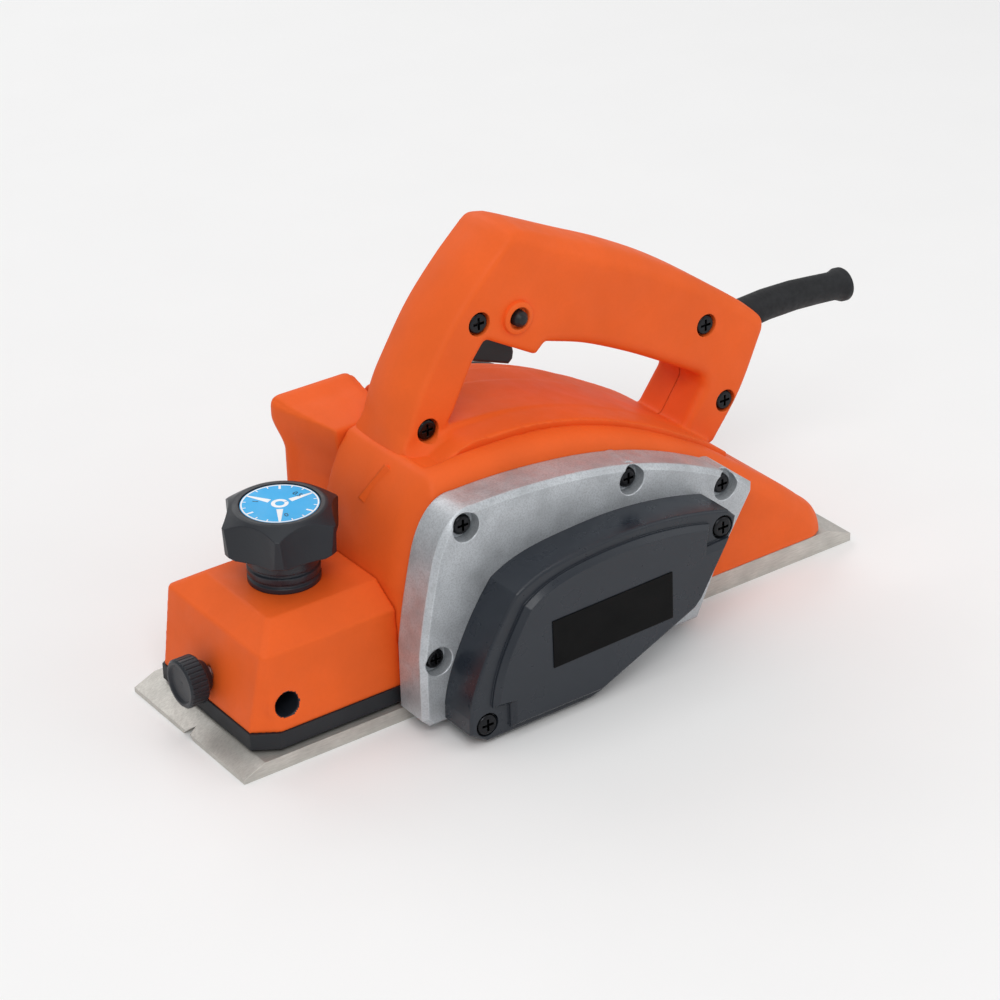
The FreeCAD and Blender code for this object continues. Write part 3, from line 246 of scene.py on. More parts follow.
def laminated_steel(name):
    s = Shader(name, (0.30, 0.30, 0.32), 0.42, metallic=1.0)
    sheets = s.add("ShaderNodeTexWave", wave_type="BANDS", bands_direction="Y")
    sheets.inputs["Scale"].default_value = 320.0
    s.join(s.coordinates, sheets.inputs["Vector"])
    base = s.ramp(sheets.outputs["Fac"], [(0.15, (0.12, 0.12, 0.13)), (0.5, (0.36, 0.36, 0.38))])
    return s.finish(base, None, s.bump(sheets.outputs["Fac"], 0.08))


ORANGE = (0.860, 0.125, 0.016)
CHARCOAL = (0.020, 0.025, 0.034)
BLACK = (0.010, 0.011, 0.013)
STEEL = (0.52, 0.53, 0.55)

# The seam's faces meet another half, so their edges are neither rounded nor rubbed.
orange = moulded_plastic("orange_plastic", ORANGE, 0.58, edge_mm=0.8, worn=0.22, specular=0.24)
orange_seam = moulded_plastic("orange_seam", ORANGE, 0.58, edge_mm=0.0, worn=0.0, specular=0.24)
charcoal = moulded_plastic("charcoal_plastic", CHARCOAL, 0.30, grain_depth=0.004, edge_mm=0.6, worn=0.5,
                           specular=0.42)
skirt_grey = moulded_plastic("skirt_plastic", (0.018, 0.020, 0.024), 0.50, grain_depth=0.014,
                             specular=0.3)
black = moulded_plastic("black_plastic", BLACK, 0.40, grain_depth=0.010, edge_mm=0.4, worn=0.5,
                        specular=0.35)
knob_black = moulded_plastic("knob_plastic", (0.013, 0.016, 0.022), 0.40, grain_mm=0.5,
                             grain_depth=0.025, edge_mm=0.6, worn=0.9, specular=0.38)
cast = cast_metal("cast_aluminium", (0.56, 0.59, 0.62), 0.46)
sole_metal = milled_metal("milled_aluminium", (0.62, 0.60, 0.56), 0.50, along=(0.10, 1.0, 1.0),
                          depth=0.012, metallic=0.75)
steel = milled_metal("bright_steel", STEEL, 0.28, along=(1.0, 0.2, 1.0), depth=0.006)
black_screw = milled_metal("black_oxide_steel", (0.030, 0.031, 0.034), 0.30, depth=0.006)
brass = milled_metal("brass", (0.62, 0.44, 0.16), 0.30)
black_rubber = rubber("black_rubber", (0.012, 0.013, 0.015))
copper = wound_copper("enamelled_copper")
core_steel = laminated_steel("laminated_steel")
carbon = rubber("carbon", (0.02, 0.02, 0.022))
film = moulded_plastic("capacitor_film", (0.55, 0.40, 0.06), 0.35)
label_black = moulded_plastic("label_print", (0.0008, 0.0008, 0.001), 0.5, grain_depth=0.002,
                              edge_mm=0.2, worn=0.2, specular=0.12)
dial_blue = moulded_plastic("dial_print", (0.0, 0.40, 0.82), 0.40, grain_depth=0.002,
                            edge_mm=0.2, worn=0.15)
white_print = moulded_plastic("white_print", (0.86, 0.88, 0.90), 0.40, grain_depth=0.002, edge_mm=0.1)

SLOT_MATERIALS = {
    "orange_plastic": orange,
    "dark_plastic": charcoal,
    "black_plastic": black,
    "black_rubber": black_rubber,
    "label_print": label_black,
    "dial_print": dial_blue,
    "cast_aluminium": cast,
    "black_steel": black_screw,
    "steel": steel,
    "core_steel": core_steel,
    "copper": copper,
    "brass": brass,
    "carbon": carbon,
    "capacitor_film": film,
}
OWN_MATERIALS = {
    "front_skirt": skirt_grey,
    "depth_knob": knob_black,
    "guide_knob": knob_black,
    "front_shoe": sole_metal,
    "rear_shoe": sole_metal,
}

for part in frame["record"]["subparts"]:
    node = nodes[part["node"]]
    node.data.materials.clear()
    node.data.materials.append(OWN_MATERIALS.get(part["node"], SLOT_MATERIALS[part["material_slot"]]))


# ---------------------------------------------------------------- pieces

def mesh_piece(name, verts, faces, material, body, smooth=True):
    mesh = bpy.data.meshes.new(name)
    mesh.from_pydata([tuple(v) for v in verts], [], faces)
    return add_piece(name, mesh, material, body, smooth)


def add_piece(name, mesh, material, body, smooth=True):
    mesh.materials.clear()
    mesh.materials.append(material)
    if smooth:
        mesh.polygons.foreach_set("use_smooth", [True] * len(mesh.polygons))
    piece = bpy.data.objects.new(name, mesh)
    bpy.context.scene.collection.objects.link(piece)
    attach(piece, body)
    return piece


def flat_print(name, polygons, height, thickness, material, body):
    """Thin printed marks: each polygon is a list of (x, y), lying at a height in millimetres."""
    work = bmesh.new()
    for polygon in polygons:
        low = [work.verts.new((x * MM, y * MM, height * MM)) for x, y in polygon]
        high = [work.verts.new((x * MM, y * MM, (height + thickness) * MM)) for x, y in polygon]
        count = len(polygon)
        work.faces.new(low[::-1])
        work.faces.new(high)
        for i in range(count):
            j = (i + 1) % count
            work.faces.new((low[i], low[j], high[j], high[i]))
    bmesh.ops.recalc_face_normals(work, faces=work.faces)
    mesh = bpy.data.meshes.new(name)
    work.to_mesh(mesh)
    work.free()
    return add_piece(name, mesh, material, body, smooth=False)


def spline(points, per_span=7):
    """Points along a smooth curve through the given ones (Catmull-Rom)."""
    first = [2 * a - b for a, b in zip(points[0], points[1])]
    last = [2 * a - b for a, b in zip(points[-1], points[-2])]
    padded = [first] + [list(p) for p in points] + [last]
    curve = []
    for p0, p1, p2, p3 in zip(padded, padded[1:], padded[2:], padded[3:]):
        for step in range(per_span):
            t = step / per_span
            curve.append(tuple(
                0.5 * (2 * b + (c - a) * t + (2 * a - 5 * b + 4 * c - d) * t * t
                       + (3 * b - a - 3 * c + d) * t ** 3)
                for a, b, c, d in zip(p0, p1, p2, p3)))
    return curve + [tuple(points[-1])]


def closed_loop(stretches):
    """One loop from straight and curved stretches of (x, z, edge radius), each point once."""
    loop = []
    for stretch in stretches:
        loop += (spline(stretch) if len(stretch) > 2 else list(stretch))[:-1]
    return loop


def prism(work, loops, low, high):
    """Add a closed solid to a bmesh: flat loops in x and z, filled and pulled from y low to y high."""
    edges = []
    for loop in loops:
        ring = [work.verts.new((point[0], low, point[1])) for point in loop]
        edges += [work.edges.new((ring[i - 1], ring[i])) for i in range(len(ring))]
    filled = bmesh.ops.triangle_fill(work, use_beauty=True, edges=edges)["geom"]
    faces = [g for g in filled if isinstance(g, bmesh.types.BMFace)]
    pulled = bmesh.ops.extrude_face_region(work, geom=faces)["geom"]
    moved = [g for g in pulled if isinstance(g, bmesh.types.BMVert)]
    bmesh.ops.translate(work, verts=moved, vec=(0, high - low, 0))


def drum(work, x, z, radius, low, high, segments=48):
    """Add a round bar along y to a bmesh."""
    place = Matrix.Translation((x, (low + high) / 2, z)) @ Matrix.Rotation(math.pi / 2, 4, "X")
    bmesh.ops.create_cone(work, cap_ends=True, segments=segments, radius1=radius, radius2=radius,
                          depth=high - low, matrix=place)


def raw_object(name, work):
    """Turn a bmesh in millimetres into an object in metres, and free it."""
    bmesh.ops.recalc_face_normals(work, faces=work.faces)
    mesh = bpy.data.meshes.new(name)
    work.to_mesh(mesh)
    work.free()
    mesh.transform(Matrix.Scale(MM, 4))
    made = bpy.data.objects.new(name, mesh)
    bpy.context.scene.collection.objects.link(made)
    return made


def apply_modifiers(made):
    bpy.context.view_layer.update()
    result = bpy.data.meshes.new_from_object(made.evaluated_get(bpy.context.evaluated_depsgraph_get()))
    made.modifiers.clear()
    old, made.data = made.data, result
    bpy.data.meshes.remove(old)


def remesh(made, voxel_mm, smooth=0, factor=0.5):
    grid = made.modifiers.new("grid", "REMESH")
    grid.mode = "VOXEL"
    grid.voxel_size = voxel_mm * MM
    if smooth:
        relax = made.modifiers.new("relax", "SMOOTH")
        relax.iterations = smooth
        relax.factor = factor
    apply_modifiers(made)


def carve(made, work):
    """Cut the solids of a bmesh out of an object."""
    cutter = raw_object("cutter", work)
    cut = made.modifiers.new("cut", "BOOLEAN")
    cut.operation = "DIFFERENCE"
    cut.solver = "EXACT"
    cut.object = cutter
    apply_modifiers(made)
    bpy.data.objects.remove(cutter)


def carve_prism(made, loop, low, high):
    work = bmesh.new()
    prism(work, [loop], low, high)
    carve(made, work)


def vertex_array(mesh):
    """A mesh's vertices in millimetres."""
    values = np.empty(len(mesh.vertices) * 3, np.float32)
    mesh.vertices.foreach_get("co", values)
    return values.reshape(-1, 3).astype(float) / MM


def write_vertices(mesh, values):
    mesh.vertices.foreach_set("co", (values * MM).astype(np.float32).ravel())
    mesh.update()


def nearest_on_loops(points, loops):
    """For flat points: distance to the nearest loop edge, its inward normal, and the edge radius there.

    The first loop is the outline and the others are holes in it.
    """
    best = np.full(len(points), np.inf)
    normal = np.zeros((len(points), 2))
    radius = np.zeros(len(points))
    for number, loop in enumerate(loops):
        ring = np.array(loop)
        area = 0.5 * np.sum(ring[:, 0] * np.roll(ring[:, 1], -1) - np.roll(ring[:, 0], -1) * ring[:, 1])
        turn = (1.0 if area > 0 else -1.0) * (1.0 if number == 0 else -1.0)
        for start, end in zip(ring, np.roll(ring, -1, axis=0)):
            along = end[:2] - start[:2]
            length = np.hypot(*along)
            if length < 1e-6:
                continue
            share = np.clip((points - start[:2]) @ along / length ** 2, 0.0, 1.0)
            gap = points - (start[:2] + share[:, None] * along)
            distance = np.hypot(gap[:, 0], gap[:, 1])
            nearer = distance < best
            best[nearer] = distance[nearer]
            normal[nearer] = np.array([-along[1], along[0]]) / length * turn
            radius[nearer] = (start[2] + share * (end[2] - start[2]))[nearer]
    return best, normal, radius


def round_rims(values, loops, side, half_width):
    """Roll the outer rims of a plate-like piece over to the radius that its loops give."""
    depth = values[:, 1] * side
    flat = values[:, [0, 2]]
    distance, normal, radius = nearest_on_loops(flat, loops)
    u = radius - distance
    v = depth - (half_width - radius)
    reach = np.hypot(u, v)
    near = (u > 0) & (v > 0) & (reach > radius) & (depth <= half_width + 0.5)
    scale = np.where(near, radius / np.maximum(reach, 1e-6), 1.0)
    inward = (u - u * scale)[:, None] * normal
    values[near, 0] += inward[near, 0]
    values[near, 2] += inward[near, 1]
    values[near, 1] = side * (half_width - radius + v * scale)[near]
    return values


def polar(radius, degrees):
    angle = math.radians(degrees)
    return radius * math.cos(angle), radius * math.sin(angle)


def wedge(inner, outer, degrees, inner_width, outer_width):
    """A radial bar on the dial, from one radius to another, with its own width at each end."""
    (ux, uy), bar = polar(1.0, degrees), []
    for radius, half in ((inner, inner_width / 2), (outer, outer_width / 2)):
        bar.append((radius * ux - half * uy, radius * uy + half * ux))
        bar.append((radius * ux + half * uy, radius * uy - half * ux))
    return [bar[0], bar[1], bar[3], bar[2]]


def arc_band(inner, outer, start, stop, steps=18):
    sweep = [start + (stop - start) * i / steps for i in range(steps + 1)]
    return [polar(outer, a) for a in sweep] + [polar(inner, a) for a in reversed(sweep)]


def numeral(name, text, size_mm, place, turn, height, material, body):
    """Raised printed number on the dial, its middle at a place, standing along a radius."""
    curve = bpy.data.curves.new(name, "FONT")
    curve.body = text
    curve.size = size_mm * MM
    curve.align_x = curve.align_y = "CENTER"
    curve.extrude = 0.04 * MM
    curve.resolution_u = 4
    holder = bpy.data.objects.new(name + "_text", curve)
    bpy.context.scene.collection.objects.link(holder)
    bpy.context.view_layer.update()
    mesh = bpy.data.meshes.new_from_object(holder.evaluated_get(bpy.context.evaluated_depsgraph_get()))
    bpy.data.objects.remove(holder)
    spot = Matrix.Translation(Vector((*place, height)) * MM)
    mesh.transform(spot @ Matrix.Rotation(math.radians(turn), 4, "Z"))
    mesh.name = name
    return add_piece(name, mesh, material, body, smooth=False)


DIAL_TURN = 238.0       # degrees, so that the scale faces the camera as in the photograph


def make_dial():
    """Blue dial with a white scale: bars every 120 degrees, ticks between them and three numbers."""
    low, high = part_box("depth_dial")
    cx, cy, top = (low.x + high.x) / 2 / MM, (low.y + high.y) / 2 / MM, high.z / MM
    radius = (high.x - low.x) / 2 / MM
    marks = []
    for k in range(3):
        angle = DIAL_TURN + 120 * k
        marks.append(wedge(radius * 0.30, radius * 0.94, angle, 2.6, 0.8))
        marks.append(wedge(radius * 0.76, radius * 0.94, angle + 60, 0.9, 0.9))
        for step in (-40, -20, 20, 40):
            marks.append(wedge(radius * 0.86, radius * 0.94, angle + step, 0.45, 0.45))
    marks.append(arc_band(radius * 0.12, radius * 0.22, 0, 350, 40))
    marks.append(arc_band(radius * 0.945, radius * 0.985, 0, 359, 90))
    marks = [[(cx + x, cy + y) for x, y in mark] for mark in marks]
    flat_print("dial_marks", marks, top - 0.02, 0.07, white_print, "depth_control")
    for k, text in enumerate(("0", "0.5", "1")):
        angle = DIAL_TURN + 120 * k + 15
        x, y = polar(radius * 0.62, angle)
        numeral("dial_number_%d" % k, text, 3.4, (cx + x, cy + y), angle - 90, top + 0.02, black,
                "depth_control")


make_dial()


# ---------------------------------------------------------------- handle

# Outlines in millimetres: x to the rear, z up, and the radius of the rounded edge there.
HANDLE_FRONT = [(-59.5, 96.0, 1.6), (-56.5, 107, 1.6), (-52.5, 118, 1.6), (-46.5, 128.5, 1.6),
                (-35, 146, 1.8), (-20, 162.5, 2.0), (-8, 173, 2.4)]
HANDLE_CROWN = [(-8, 173, 2.4), (-4, 175.0, 3.0), (2, 174.0, 4.5)]
HANDLE_TOP = [(2, 174.0, 4.5), (30, 160.8, 7.5), (55, 149, 7.5), (80, 134.5, 7.0), (109, 113.8, 6.0),
              (118.5, 105.8, 5.0)]
HANDLE_REAR = [(118.5, 105.8, 5.0), (121.8, 101.9, 4.5), (121.8, 97.5, 4.0)]
HANDLE_HEEL = [(121.8, 97.5, 4.0), (110, 73.5, 3.0), (95.5, 54.3, 2.0)]
HANDLE_FOOT = [(95.5, 54.3, 2.0), (91, 54.5, 1.0), (78, 62, 1.0), (62, 71.5, 1.0), (46, 80, 1.0),
               (21, 90, 1.0), (-4, 96, 1.0), (-22, 97, 1.0), (-41, 97, 1.0), (-59.5, 96.0, 1.0)]
FINGER_GAP = [
    [(-36, 102.4, 2.0), (-23.5, 126, 2.5)],
    [(-23.5, 126, 2.5), (-17.5, 134, 2.0)],
    [(-17.5, 134, 2.0), (6, 120.5, 2.0)],
    [(6, 120.5, 2.0), (11, 124.3, 3.0)],
    [(11, 124.3, 3.0), (31, 117.2, 4.5), (52, 107.2, 4.5), (69, 97.8, 4.5), (86, 88, 4.5)],
    [(86, 88, 4.5), (89.6, 85, 4.0), (89.8, 80.6, 4.0)],
    [(89.8, 80.6, 4.0), (79.5, 65.6, 3.0)],
    [(79.5, 65.6, 3.0), (62, 75.8, 2.0), (46, 84.2, 2.0), (21, 94.2, 2.0), (-4, 100.2, 2.0),
     (-36, 102.4, 2.0)],
]
STRIP_TOP = [(-57, 99.6), (-41, 101.6), (-22, 101.4), (-4, 100), (21, 94), (46, 84), (62, 75.5),
             (78, 66), (91, 56.4)]
STRIP_THICKNESS = 4.9
TRIGGER_SLOT = [(-23.5, 112), (4.8, 112), (4.8, 128), (-5, 134.6), (-5, 143), (-20, 143), (-23.5, 136)]
HANDLE_SCREW_PLACES = [(-20.5, 141.5), (-45.5, 104.5), (90.5, 108.5), (101.0, 71.5)]
LOCK_PLACE = (-3.0, 139.5)
GUARD_PLACE = (120, 0, 98.3)
HANDLE_VOXEL = 0.8
HANDLE_HALF_WIDTH = 16.0
STRIP_HALF_WIDTH = 29.6
SEAM_OVERLAP = 3.2      # each half is built this far past the middle, then cut back flush
CROWN_REACH = 11.0      # how far in from the outline the crown is felt
FRONT_CROWN, TOP_CROWN = 3.3, 1.8
STRIP_SINK = 6.0        # the strip's front end drops below the body by up to this
BEYOND_SEAM = [(-70, 40), (130, 40), (130, 180), (-70, 180)]
REAR_SPLIT_LINE = [(72, 50), (130, 50), (130, 116), (72, 116)]


def crown_handle(grip, outer, gap, side):
    """Round the rims of a handle half and let its front and top edges fall away from the middle."""
    values = round_rims(vertex_array(grip.data), [outer, gap], side, HANDLE_HALF_WIDTH)
    front_share = np.clip((8.0 - values[:, 0]) / 24.0, 0, 1)
    top_share = np.clip((values[:, 2] - 118) / 30.0, 0, 1) * (1 - front_share)
    above_foot = np.clip((values[:, 2] - 96) / 9.0, 0, 1)
    set_back = FRONT_CROWN * front_share * above_foot + TOP_CROWN * top_share
    distance, normal, _ = nearest_on_loops(values[:, [0, 2]], [outer])
    sideways = np.minimum(np.abs(values[:, 1]) / HANDLE_HALF_WIDTH, 1)
    crown = set_back * np.clip(1 - distance / CROWN_REACH, 0, 1) * sideways ** 2
    values[:, 0] += crown * normal[:, 0]
    values[:, 2] += crown * normal[:, 1]
    write_vertices(grip.data, values)


def add_strip(grip, name, inner, side):
    """Join the base strip to a handle half and sink its front end; gives the new object."""
    work = bmesh.new()
    work.from_mesh(grip.data)
    work.transform(Matrix.Scale(1 / MM, 4))
    top = spline(STRIP_TOP, 4)
    under = [(x, z - STRIP_THICKNESS) for x, z in reversed(top)]
    prism(work, [top + under], *sorted((inner, side * STRIP_HALF_WIDTH)))
    bpy.data.objects.remove(grip)
    grip = raw_object(name, work)
    remesh(grip, HANDLE_VOXEL, smooth=3, factor=0.4)
    values = vertex_array(grip.data)
    out = np.clip((np.abs(values[:, 1]) - 15.8) / 4.0, 0, 1) * (values[:, 2] < 106)
    values[:, 2] -= STRIP_SINK * out * np.clip((-34.0 - values[:, 0]) / 20.0, 0, 1) ** 1.2
    write_vertices(grip.data, values)
    return grip


def cut_screw_side(grip):
    """The wells and the lock button's hole, which only the half on the camera's side has."""
    work = bmesh.new()
    for x, z in HANDLE_SCREW_PLACES:
        drum(work, x, z, 4.9, -20, -13.2)
    carve(grip, work)
    work = bmesh.new()
    drum(work, *LOCK_PLACE, 3.35, -20, -3)
    drum(work, *LOCK_PLACE, 5.4, -13.0, -1.0)
    carve(grip, work)


def handle_half(name, side, node):
    """One half of the D handle with its base strip: soft rims, crowned front, screw wells."""
    outer = closed_loop([HANDLE_FRONT, HANDLE_CROWN, HANDLE_TOP, HANDLE_REAR, HANDLE_HEEL, HANDLE_FOOT])
    gap = closed_loop(FINGER_GAP)
    inner = -SEAM_OVERLAP * side
    work = bmesh.new()
    prism(work, [outer, gap], *sorted((inner, side * HANDLE_HALF_WIDTH)))
    grip = raw_object(name, work)
    remesh(grip, HANDLE_VOXEL)
    crown_handle(grip, outer, gap, side)
    grip = add_strip(grip, name, inner, side)
    carve_prism(grip, TRIGGER_SLOT, -7.2, 7.2)
    carve_prism(grip, BEYOND_SEAM, *sorted((0, -10 * side)))
    carve_prism(grip, REAR_SPLIT_LINE, *sorted((-side, 0.25 * side)))
    if side < 0:
        cut_screw_side(grip)
    work = bmesh.new()
    bmesh.ops.create_cone(work, cap_ends=True, segments=48, radius1=7.0, radius2=7.0, depth=20,
                          matrix=Matrix.Translation(GUARD_PLACE) @ Matrix.Rotation(math.pi / 2, 4, "Y"))
    carve(grip, work)
    grip.name = name
    finish_piece(grip, orange, "planer_body", node)
    second_material(grip, orange_seam, lambda x, y, z: abs(y) < 1.5 and x < 70)


SHARP_DEGREES = 38


def finish_piece(made, material, body, *replaced, sharp_degrees=SHARP_DEGREES):
    """Smooth shading, a material and a body to ride on, and the CAD nodes that it stands for."""
    made.data.materials.clear()
    made.data.materials.append(material)
    made.data.polygons.foreach_set("use_smooth", [True] * len(made.data.polygons))
    made.data.set_sharp_from_angle(angle=math.radians(sharp_degrees))
    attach(made, body)
    if replaced:
        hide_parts(*replaced)


def second_material(made, material, where):
    """Give a second material to the faces whose centre, in millimetres, meets a test."""
    made.data.materials.append(material)
    for face in made.data.polygons:
        if where(*(face.center / MM)):
            face.material_index = 1


handle_half("handle_left_shell", -1, "handle_left")
handle_half("handle_right_shell", 1, "handle_right")


def turned_ring(name, profile, x, z, material, body, segments=72):
    """A closed ring about the y axis through (x, z): its section is a list of (radius, y)."""
    count = len(profile)
    verts, faces = [], []
    for step in range(segments):
        c, s = polar(1.0, 360.0 * step / segments)
        verts += [((x + r * c) * MM, y * MM, (z + r * s) * MM) for r, y in profile]
    for step in range(segments):
        here, there = step * count, (step + 1) % segments * count
        for i in range(count):
            j = (i + 1) % count
            faces.append((here + i, here + j, there + j, there + i))
    return mesh_piece(name, verts, faces, material, body)


LOCK_RING = [(4.2, -15.2), (4.2, -17.3), (4.6, -18.0), (5.8, -18.0), (6.5, -17.6), (6.8, -15.2)]
ring = turned_ring("lock_button_ring", LOCK_RING, *LOCK_PLACE, orange, "planer_body")
ring.data.set_sharp_from_angle(angle=math.radians(SHARP_DEGREES))


# ---------------------------------------------------------------- chute, box, body, guard, springs

def copied_mesh(name, source):
    """A copy of a CAD piece's mesh as a new object."""
    copy = bpy.data.objects.new(name, nodes[source].data.copy())
    copy.data.materials.clear()
    copy.data.transform(nodes[source].matrix_world)
    bpy.context.scene.collection.objects.link(copy)
    return copy


def copied_shell(name, source, voxel_mm, smooth):
    """The CAD piece as an even grid mesh, its edges softened by smoothing."""
    copy = copied_mesh(name, source)
    remesh(copy, voxel_mm, smooth=smooth)
    return copy


def ball_corners(values, front, rear, far, top, radius):
    """Round a block's outer edges: the nested cubes in its far and top corners become nested balls."""
    x, y, z = values.T
    u = np.minimum(x - front - radius, 0) + np.maximum(x - rear + radius, 0)
    v = np.maximum(y - far + radius, 0)
    w = np.maximum(z - top + radius, 0)
    reach = np.maximum(np.sqrt(u * u + v * v + w * w), 1e-6)
    cube = np.maximum(np.maximum(np.abs(u), v), w)
    shift = np.where(cube > 0, cube / reach - 1.0, 0.0)
    return values + shift[:, None] * np.stack([u, v, w], axis=1)


def make_springs(name, source):
    """Coil springs as a copy of the rigid CAD ones, in bright steel, riding on the body."""
    coils = copied_mesh(name, source)
    finish_piece(coils, steel, "planer_body", source)
    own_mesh(coils)


def make_chute():
    """Chip chute with soft corners: a flared lip round the top, drawn in below it."""
    chute = copied_shell("chip_chute_shell", "chip_chute", 0.9, 10)
    low, high = (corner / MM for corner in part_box("chip_chute"))
    values = ball_corners(vertex_array(chute.data), low.x, high.x, high.y, high.z, 6.0)
    x, y, z = values.T
    drop = np.clip((95.0 - z) / 14.0, 0, 1)
    ease = drop * drop * (3 - 2 * drop)
    values[:, 1] -= 5.6 * ease * np.clip((y - 34.0) / 16.0, 0, 1)
    front = np.clip((-62.0 - x) / 12.0, 0, 1)
    inner = np.clip((42.0 - y) / 24.0, 0, 1) ** 1.4 * np.clip((z - 60.0) / 14.0, 0, 1)
    values[:, 0] += front * (2.2 * ease + 6.5 * inner)
    write_vertices(chute.data, values)
    finish_piece(chute, orange, "planer_body", "chip_chute", sharp_degrees=60)


def make_front_box():
    """Front box with soft arrises; the faces inside its rod bore are painted black as painted shade of
    the deep hole.
    """
    bore_x, bore_z, bore_shade_radius = -127.0, 24.3, 5.4
    box = copied_shell("front_housing_shell", "front_housing", 0.7, 3)
    finish_piece(box, orange, "planer_body", "front_housing", sharp_degrees=60)
    # Painted shade: the faces inside the rod bore get the black knob material to stand for the shade
    # down the deep hole.
    second_material(box, knob_black, lambda x, y, z: math.hypot(x - bore_x, z - bore_z) < bore_shade_radius)


def make_seam_tab(body):
    """Short raised lip on the nose of the body: a wedge, high along one side, flush along the other."""
    ends, normals = [], []
    for y, z in ((-15.0, 94.0), (-7.0, 79.0)):
        found, place, normal, _ = body.ray_cast(Vector((-0.1, y * MM, z * MM)), Vector((1, 0, 0)))
        if not found:
            return
        ends.append(place)
        normals.append(normal)
    normal = (normals[0] + normals[1]).normalized()
    across = (ends[1] - ends[0]).cross(normal).normalized()
    verts = []
    for end in ends:
        for side, height in ((-1.3, -0.8), (1.3, -0.8), (1.3, 1.9), (-1.3, 0.0)):
            verts.append(end + across * side * MM + normal * height * MM)
    faces = [(0, 1, 2, 3), (7, 6, 5, 4), (0, 4, 5, 1), (1, 5, 6, 2), (2, 6, 7, 3), (3, 7, 4, 0)]
    mesh_piece("body_seam_tab", verts, faces, orange, "planer_body", smooth=False)


def make_body():
    """Motor body with soft arrises; its front corners fall back from the nose."""
    body = copied_shell("main_housing_shell", "main_housing", 1.1, 5)
    values = vertex_array(body.data)
    x, y, z = values.T
    front = np.clip((-56.0 - x) / 10.0, 0, 1) * np.clip((z - 40.0) / 10.0, 0, 1)
    values[:, 0] += 4.5 * front * np.clip((-28.0 - y) / 14.0, 0, 1) ** 2
    write_vertices(body.data, values)
    finish_piece(body, orange, "planer_body", "main_housing", sharp_degrees=60)
    make_seam_tab(body)


def make_cord_guard():
    """Rubber strain relief that bows up a little and ends in a bead."""
    spine = [(111, 97.2), (122, 98.3), (138, 99.4), (152, 99.0), (165, 97.8), (178.4, 96.4)]
    outside = [(111, 7.6), (113.5, 7.6), (113.8, 6.8), (120, 6.8), (135, 6.6), (150, 6.4), (162, 6.2),
               (172, 6.1), (174.4, 6.9), (175.4, 7.3), (177.6, 7.3), (178.3, 6.9), (178.4, 6.2)]
    inside = [(178.4, 4.2), (177.8, 3.8), (160, 3.8), (140, 3.8), (120, 3.8), (111, 3.8)]
    outline = outside + inside
    curve = np.array(spline(spine, 10))
    segments, count = 56, len(outline)
    verts = []
    for x, radius in outline:
        middle = np.interp(x, curve[:, 0], curve[:, 1])
        for step in range(segments):
            c, s = polar(radius, 360.0 * step / segments)
            verts.append((x * MM, c * MM, (middle + s) * MM))
    faces = []
    for i in range(count):
        here, there = i * segments, (i + 1) % count * segments
        for k in range(segments):
            j = (k + 1) % segments
            faces.append((here + k, here + j, there + j, there + k))
    guard = mesh_piece("cord_guard_sleeve", verts, faces, black_rubber, "planer_body")
    guard.data.set_sharp_from_angle(angle=math.radians(50))
    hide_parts("cord_guard")


make_chute()
make_front_box()
make_body()
make_cord_guard()
make_springs("shoe_spring_coils", "shoe_springs")
make_springs("lock_spring_coils", "lock_spring")


# ---------------------------------------------------------------- light, floor, camera

def matte(name, color):
    s = Shader(name, color, 0.9, specular=0.1)
    base = s.ramp(s.noise(60, 2.0), [(0.3, tint(color, 0.99)), (0.7, color)])
    return s.finish(base)


def area_light(name, place, aim, size, energy):
    lamp = bpy.data.lights.new(name, "AREA")
    lamp.shape = "RECTANGLE"
    lamp.size, lamp.size_y = size
    lamp.energy = energy
    holder = bpy.data.objects.new(name, lamp)
    bpy.context.scene.collection.objects.link(holder)
    holder.location = place
    holder.rotation_euler = (Vector(aim) - Vector(place)).to_track_quat("-Z", "Y").to_euler()


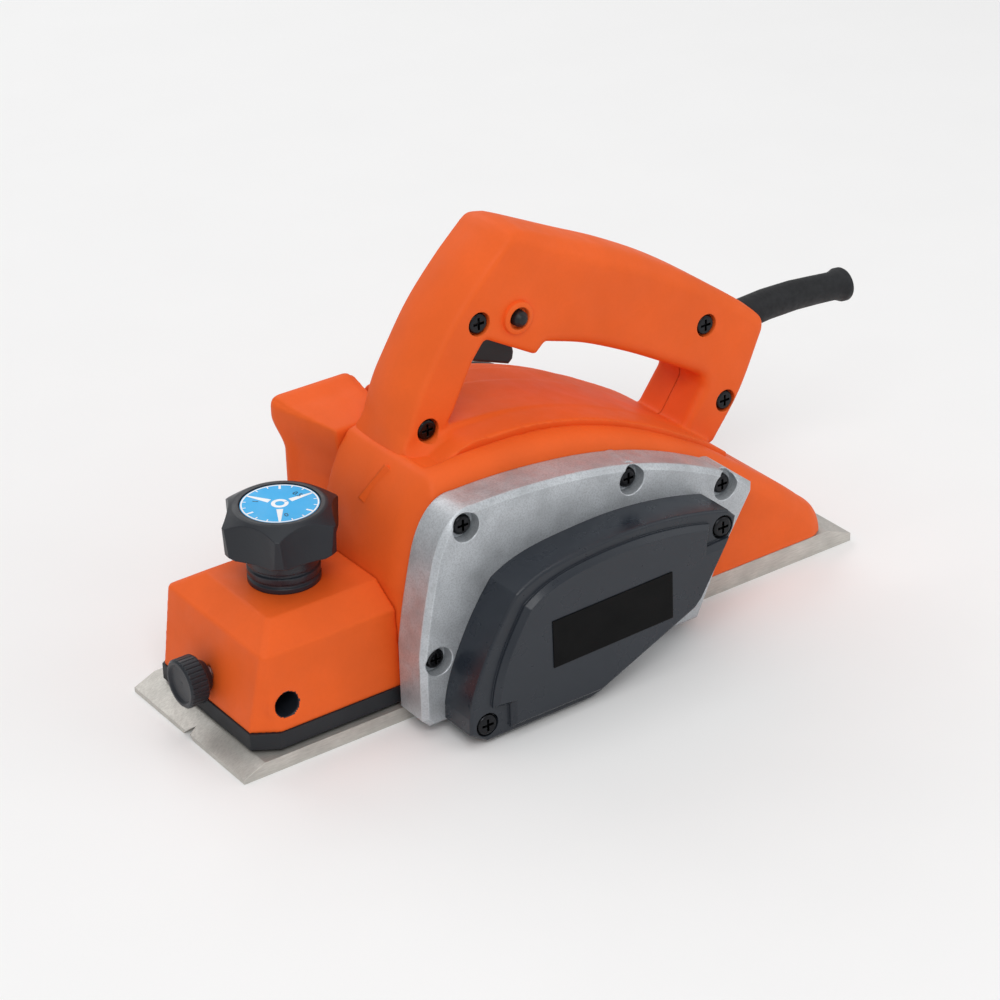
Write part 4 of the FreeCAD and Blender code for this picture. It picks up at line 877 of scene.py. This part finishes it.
def make_floor():
    mesh = bpy.data.meshes.new("floor")
    half = 6.0
    corners = [(-half, -half, 0), (half, -half, 0), (half, half, 0), (-half, half, 0)]
    mesh.from_pydata(corners, [], [(0, 1, 2, 3)])
    floor = bpy.data.objects.new("floor", mesh)
    mesh.materials.append(matte("floor_paper", (0.93, 0.93, 0.93)))
    bpy.context.scene.collection.objects.link(floor)


def make_world():
    world = bpy.data.worlds.new("studio")
    world.use_nodes = True
    background = world.node_tree.nodes["Background"]
    background.inputs["Color"].default_value = (1.0, 1.0, 1.0, 1.0)
    background.inputs["Strength"].default_value = 0.45
    bpy.context.scene.world = world


CAMERA_AZIMUTH, CAMERA_ELEVATION, CAMERA_ROLL = -35.20, 28.54, -1.45
CAMERA_DISTANCE = 1.16965
CAMERA_TARGET = Vector((-0.00175, 0.0, 0.05302))


def make_camera():
    azimuth, elevation = math.radians(CAMERA_AZIMUTH), math.radians(CAMERA_ELEVATION)
    back = Vector((math.sin(azimuth) * math.cos(elevation), -math.cos(azimuth) * math.cos(elevation),
                   math.sin(elevation)))
    data = bpy.data.cameras.new("camera")
    data.lens, data.sensor_width = 105.7, 36.0
    data.clip_start, data.clip_end = 0.05, 50.0
    camera = bpy.data.objects.new("camera", data)
    bpy.context.scene.collection.objects.link(camera)
    roll = Matrix.Rotation(math.radians(CAMERA_ROLL), 3, "Z")
    turn = (-back).to_track_quat("-Z", "Y").to_matrix() @ roll
    camera.matrix_world = Matrix.Translation(CAMERA_TARGET + back * CAMERA_DISTANCE) @ turn.to_4x4()
    bpy.context.scene.camera = camera


make_floor()
make_world()
make_camera()
area_light("key", (-0.9, -1.3, 1.7), (0, 0, 0.05), (1.2, 0.9), 16)
area_light("fill", (1.4, -1.0, 1.0), (0, 0, 0.05), (1.6, 1.2), 5)
area_light("back", (0.2, 1.6, 1.3), (0, 0, 0.08), (1.6, 0.9), 9)
area_light("top", (0.0, 0.1, 2.0), (0, 0, 0), (1.6, 1.6), 8)
bpy.context.scene.view_settings.view_transform = "Standard"
bpy.context.scene.view_settings.look = "None"
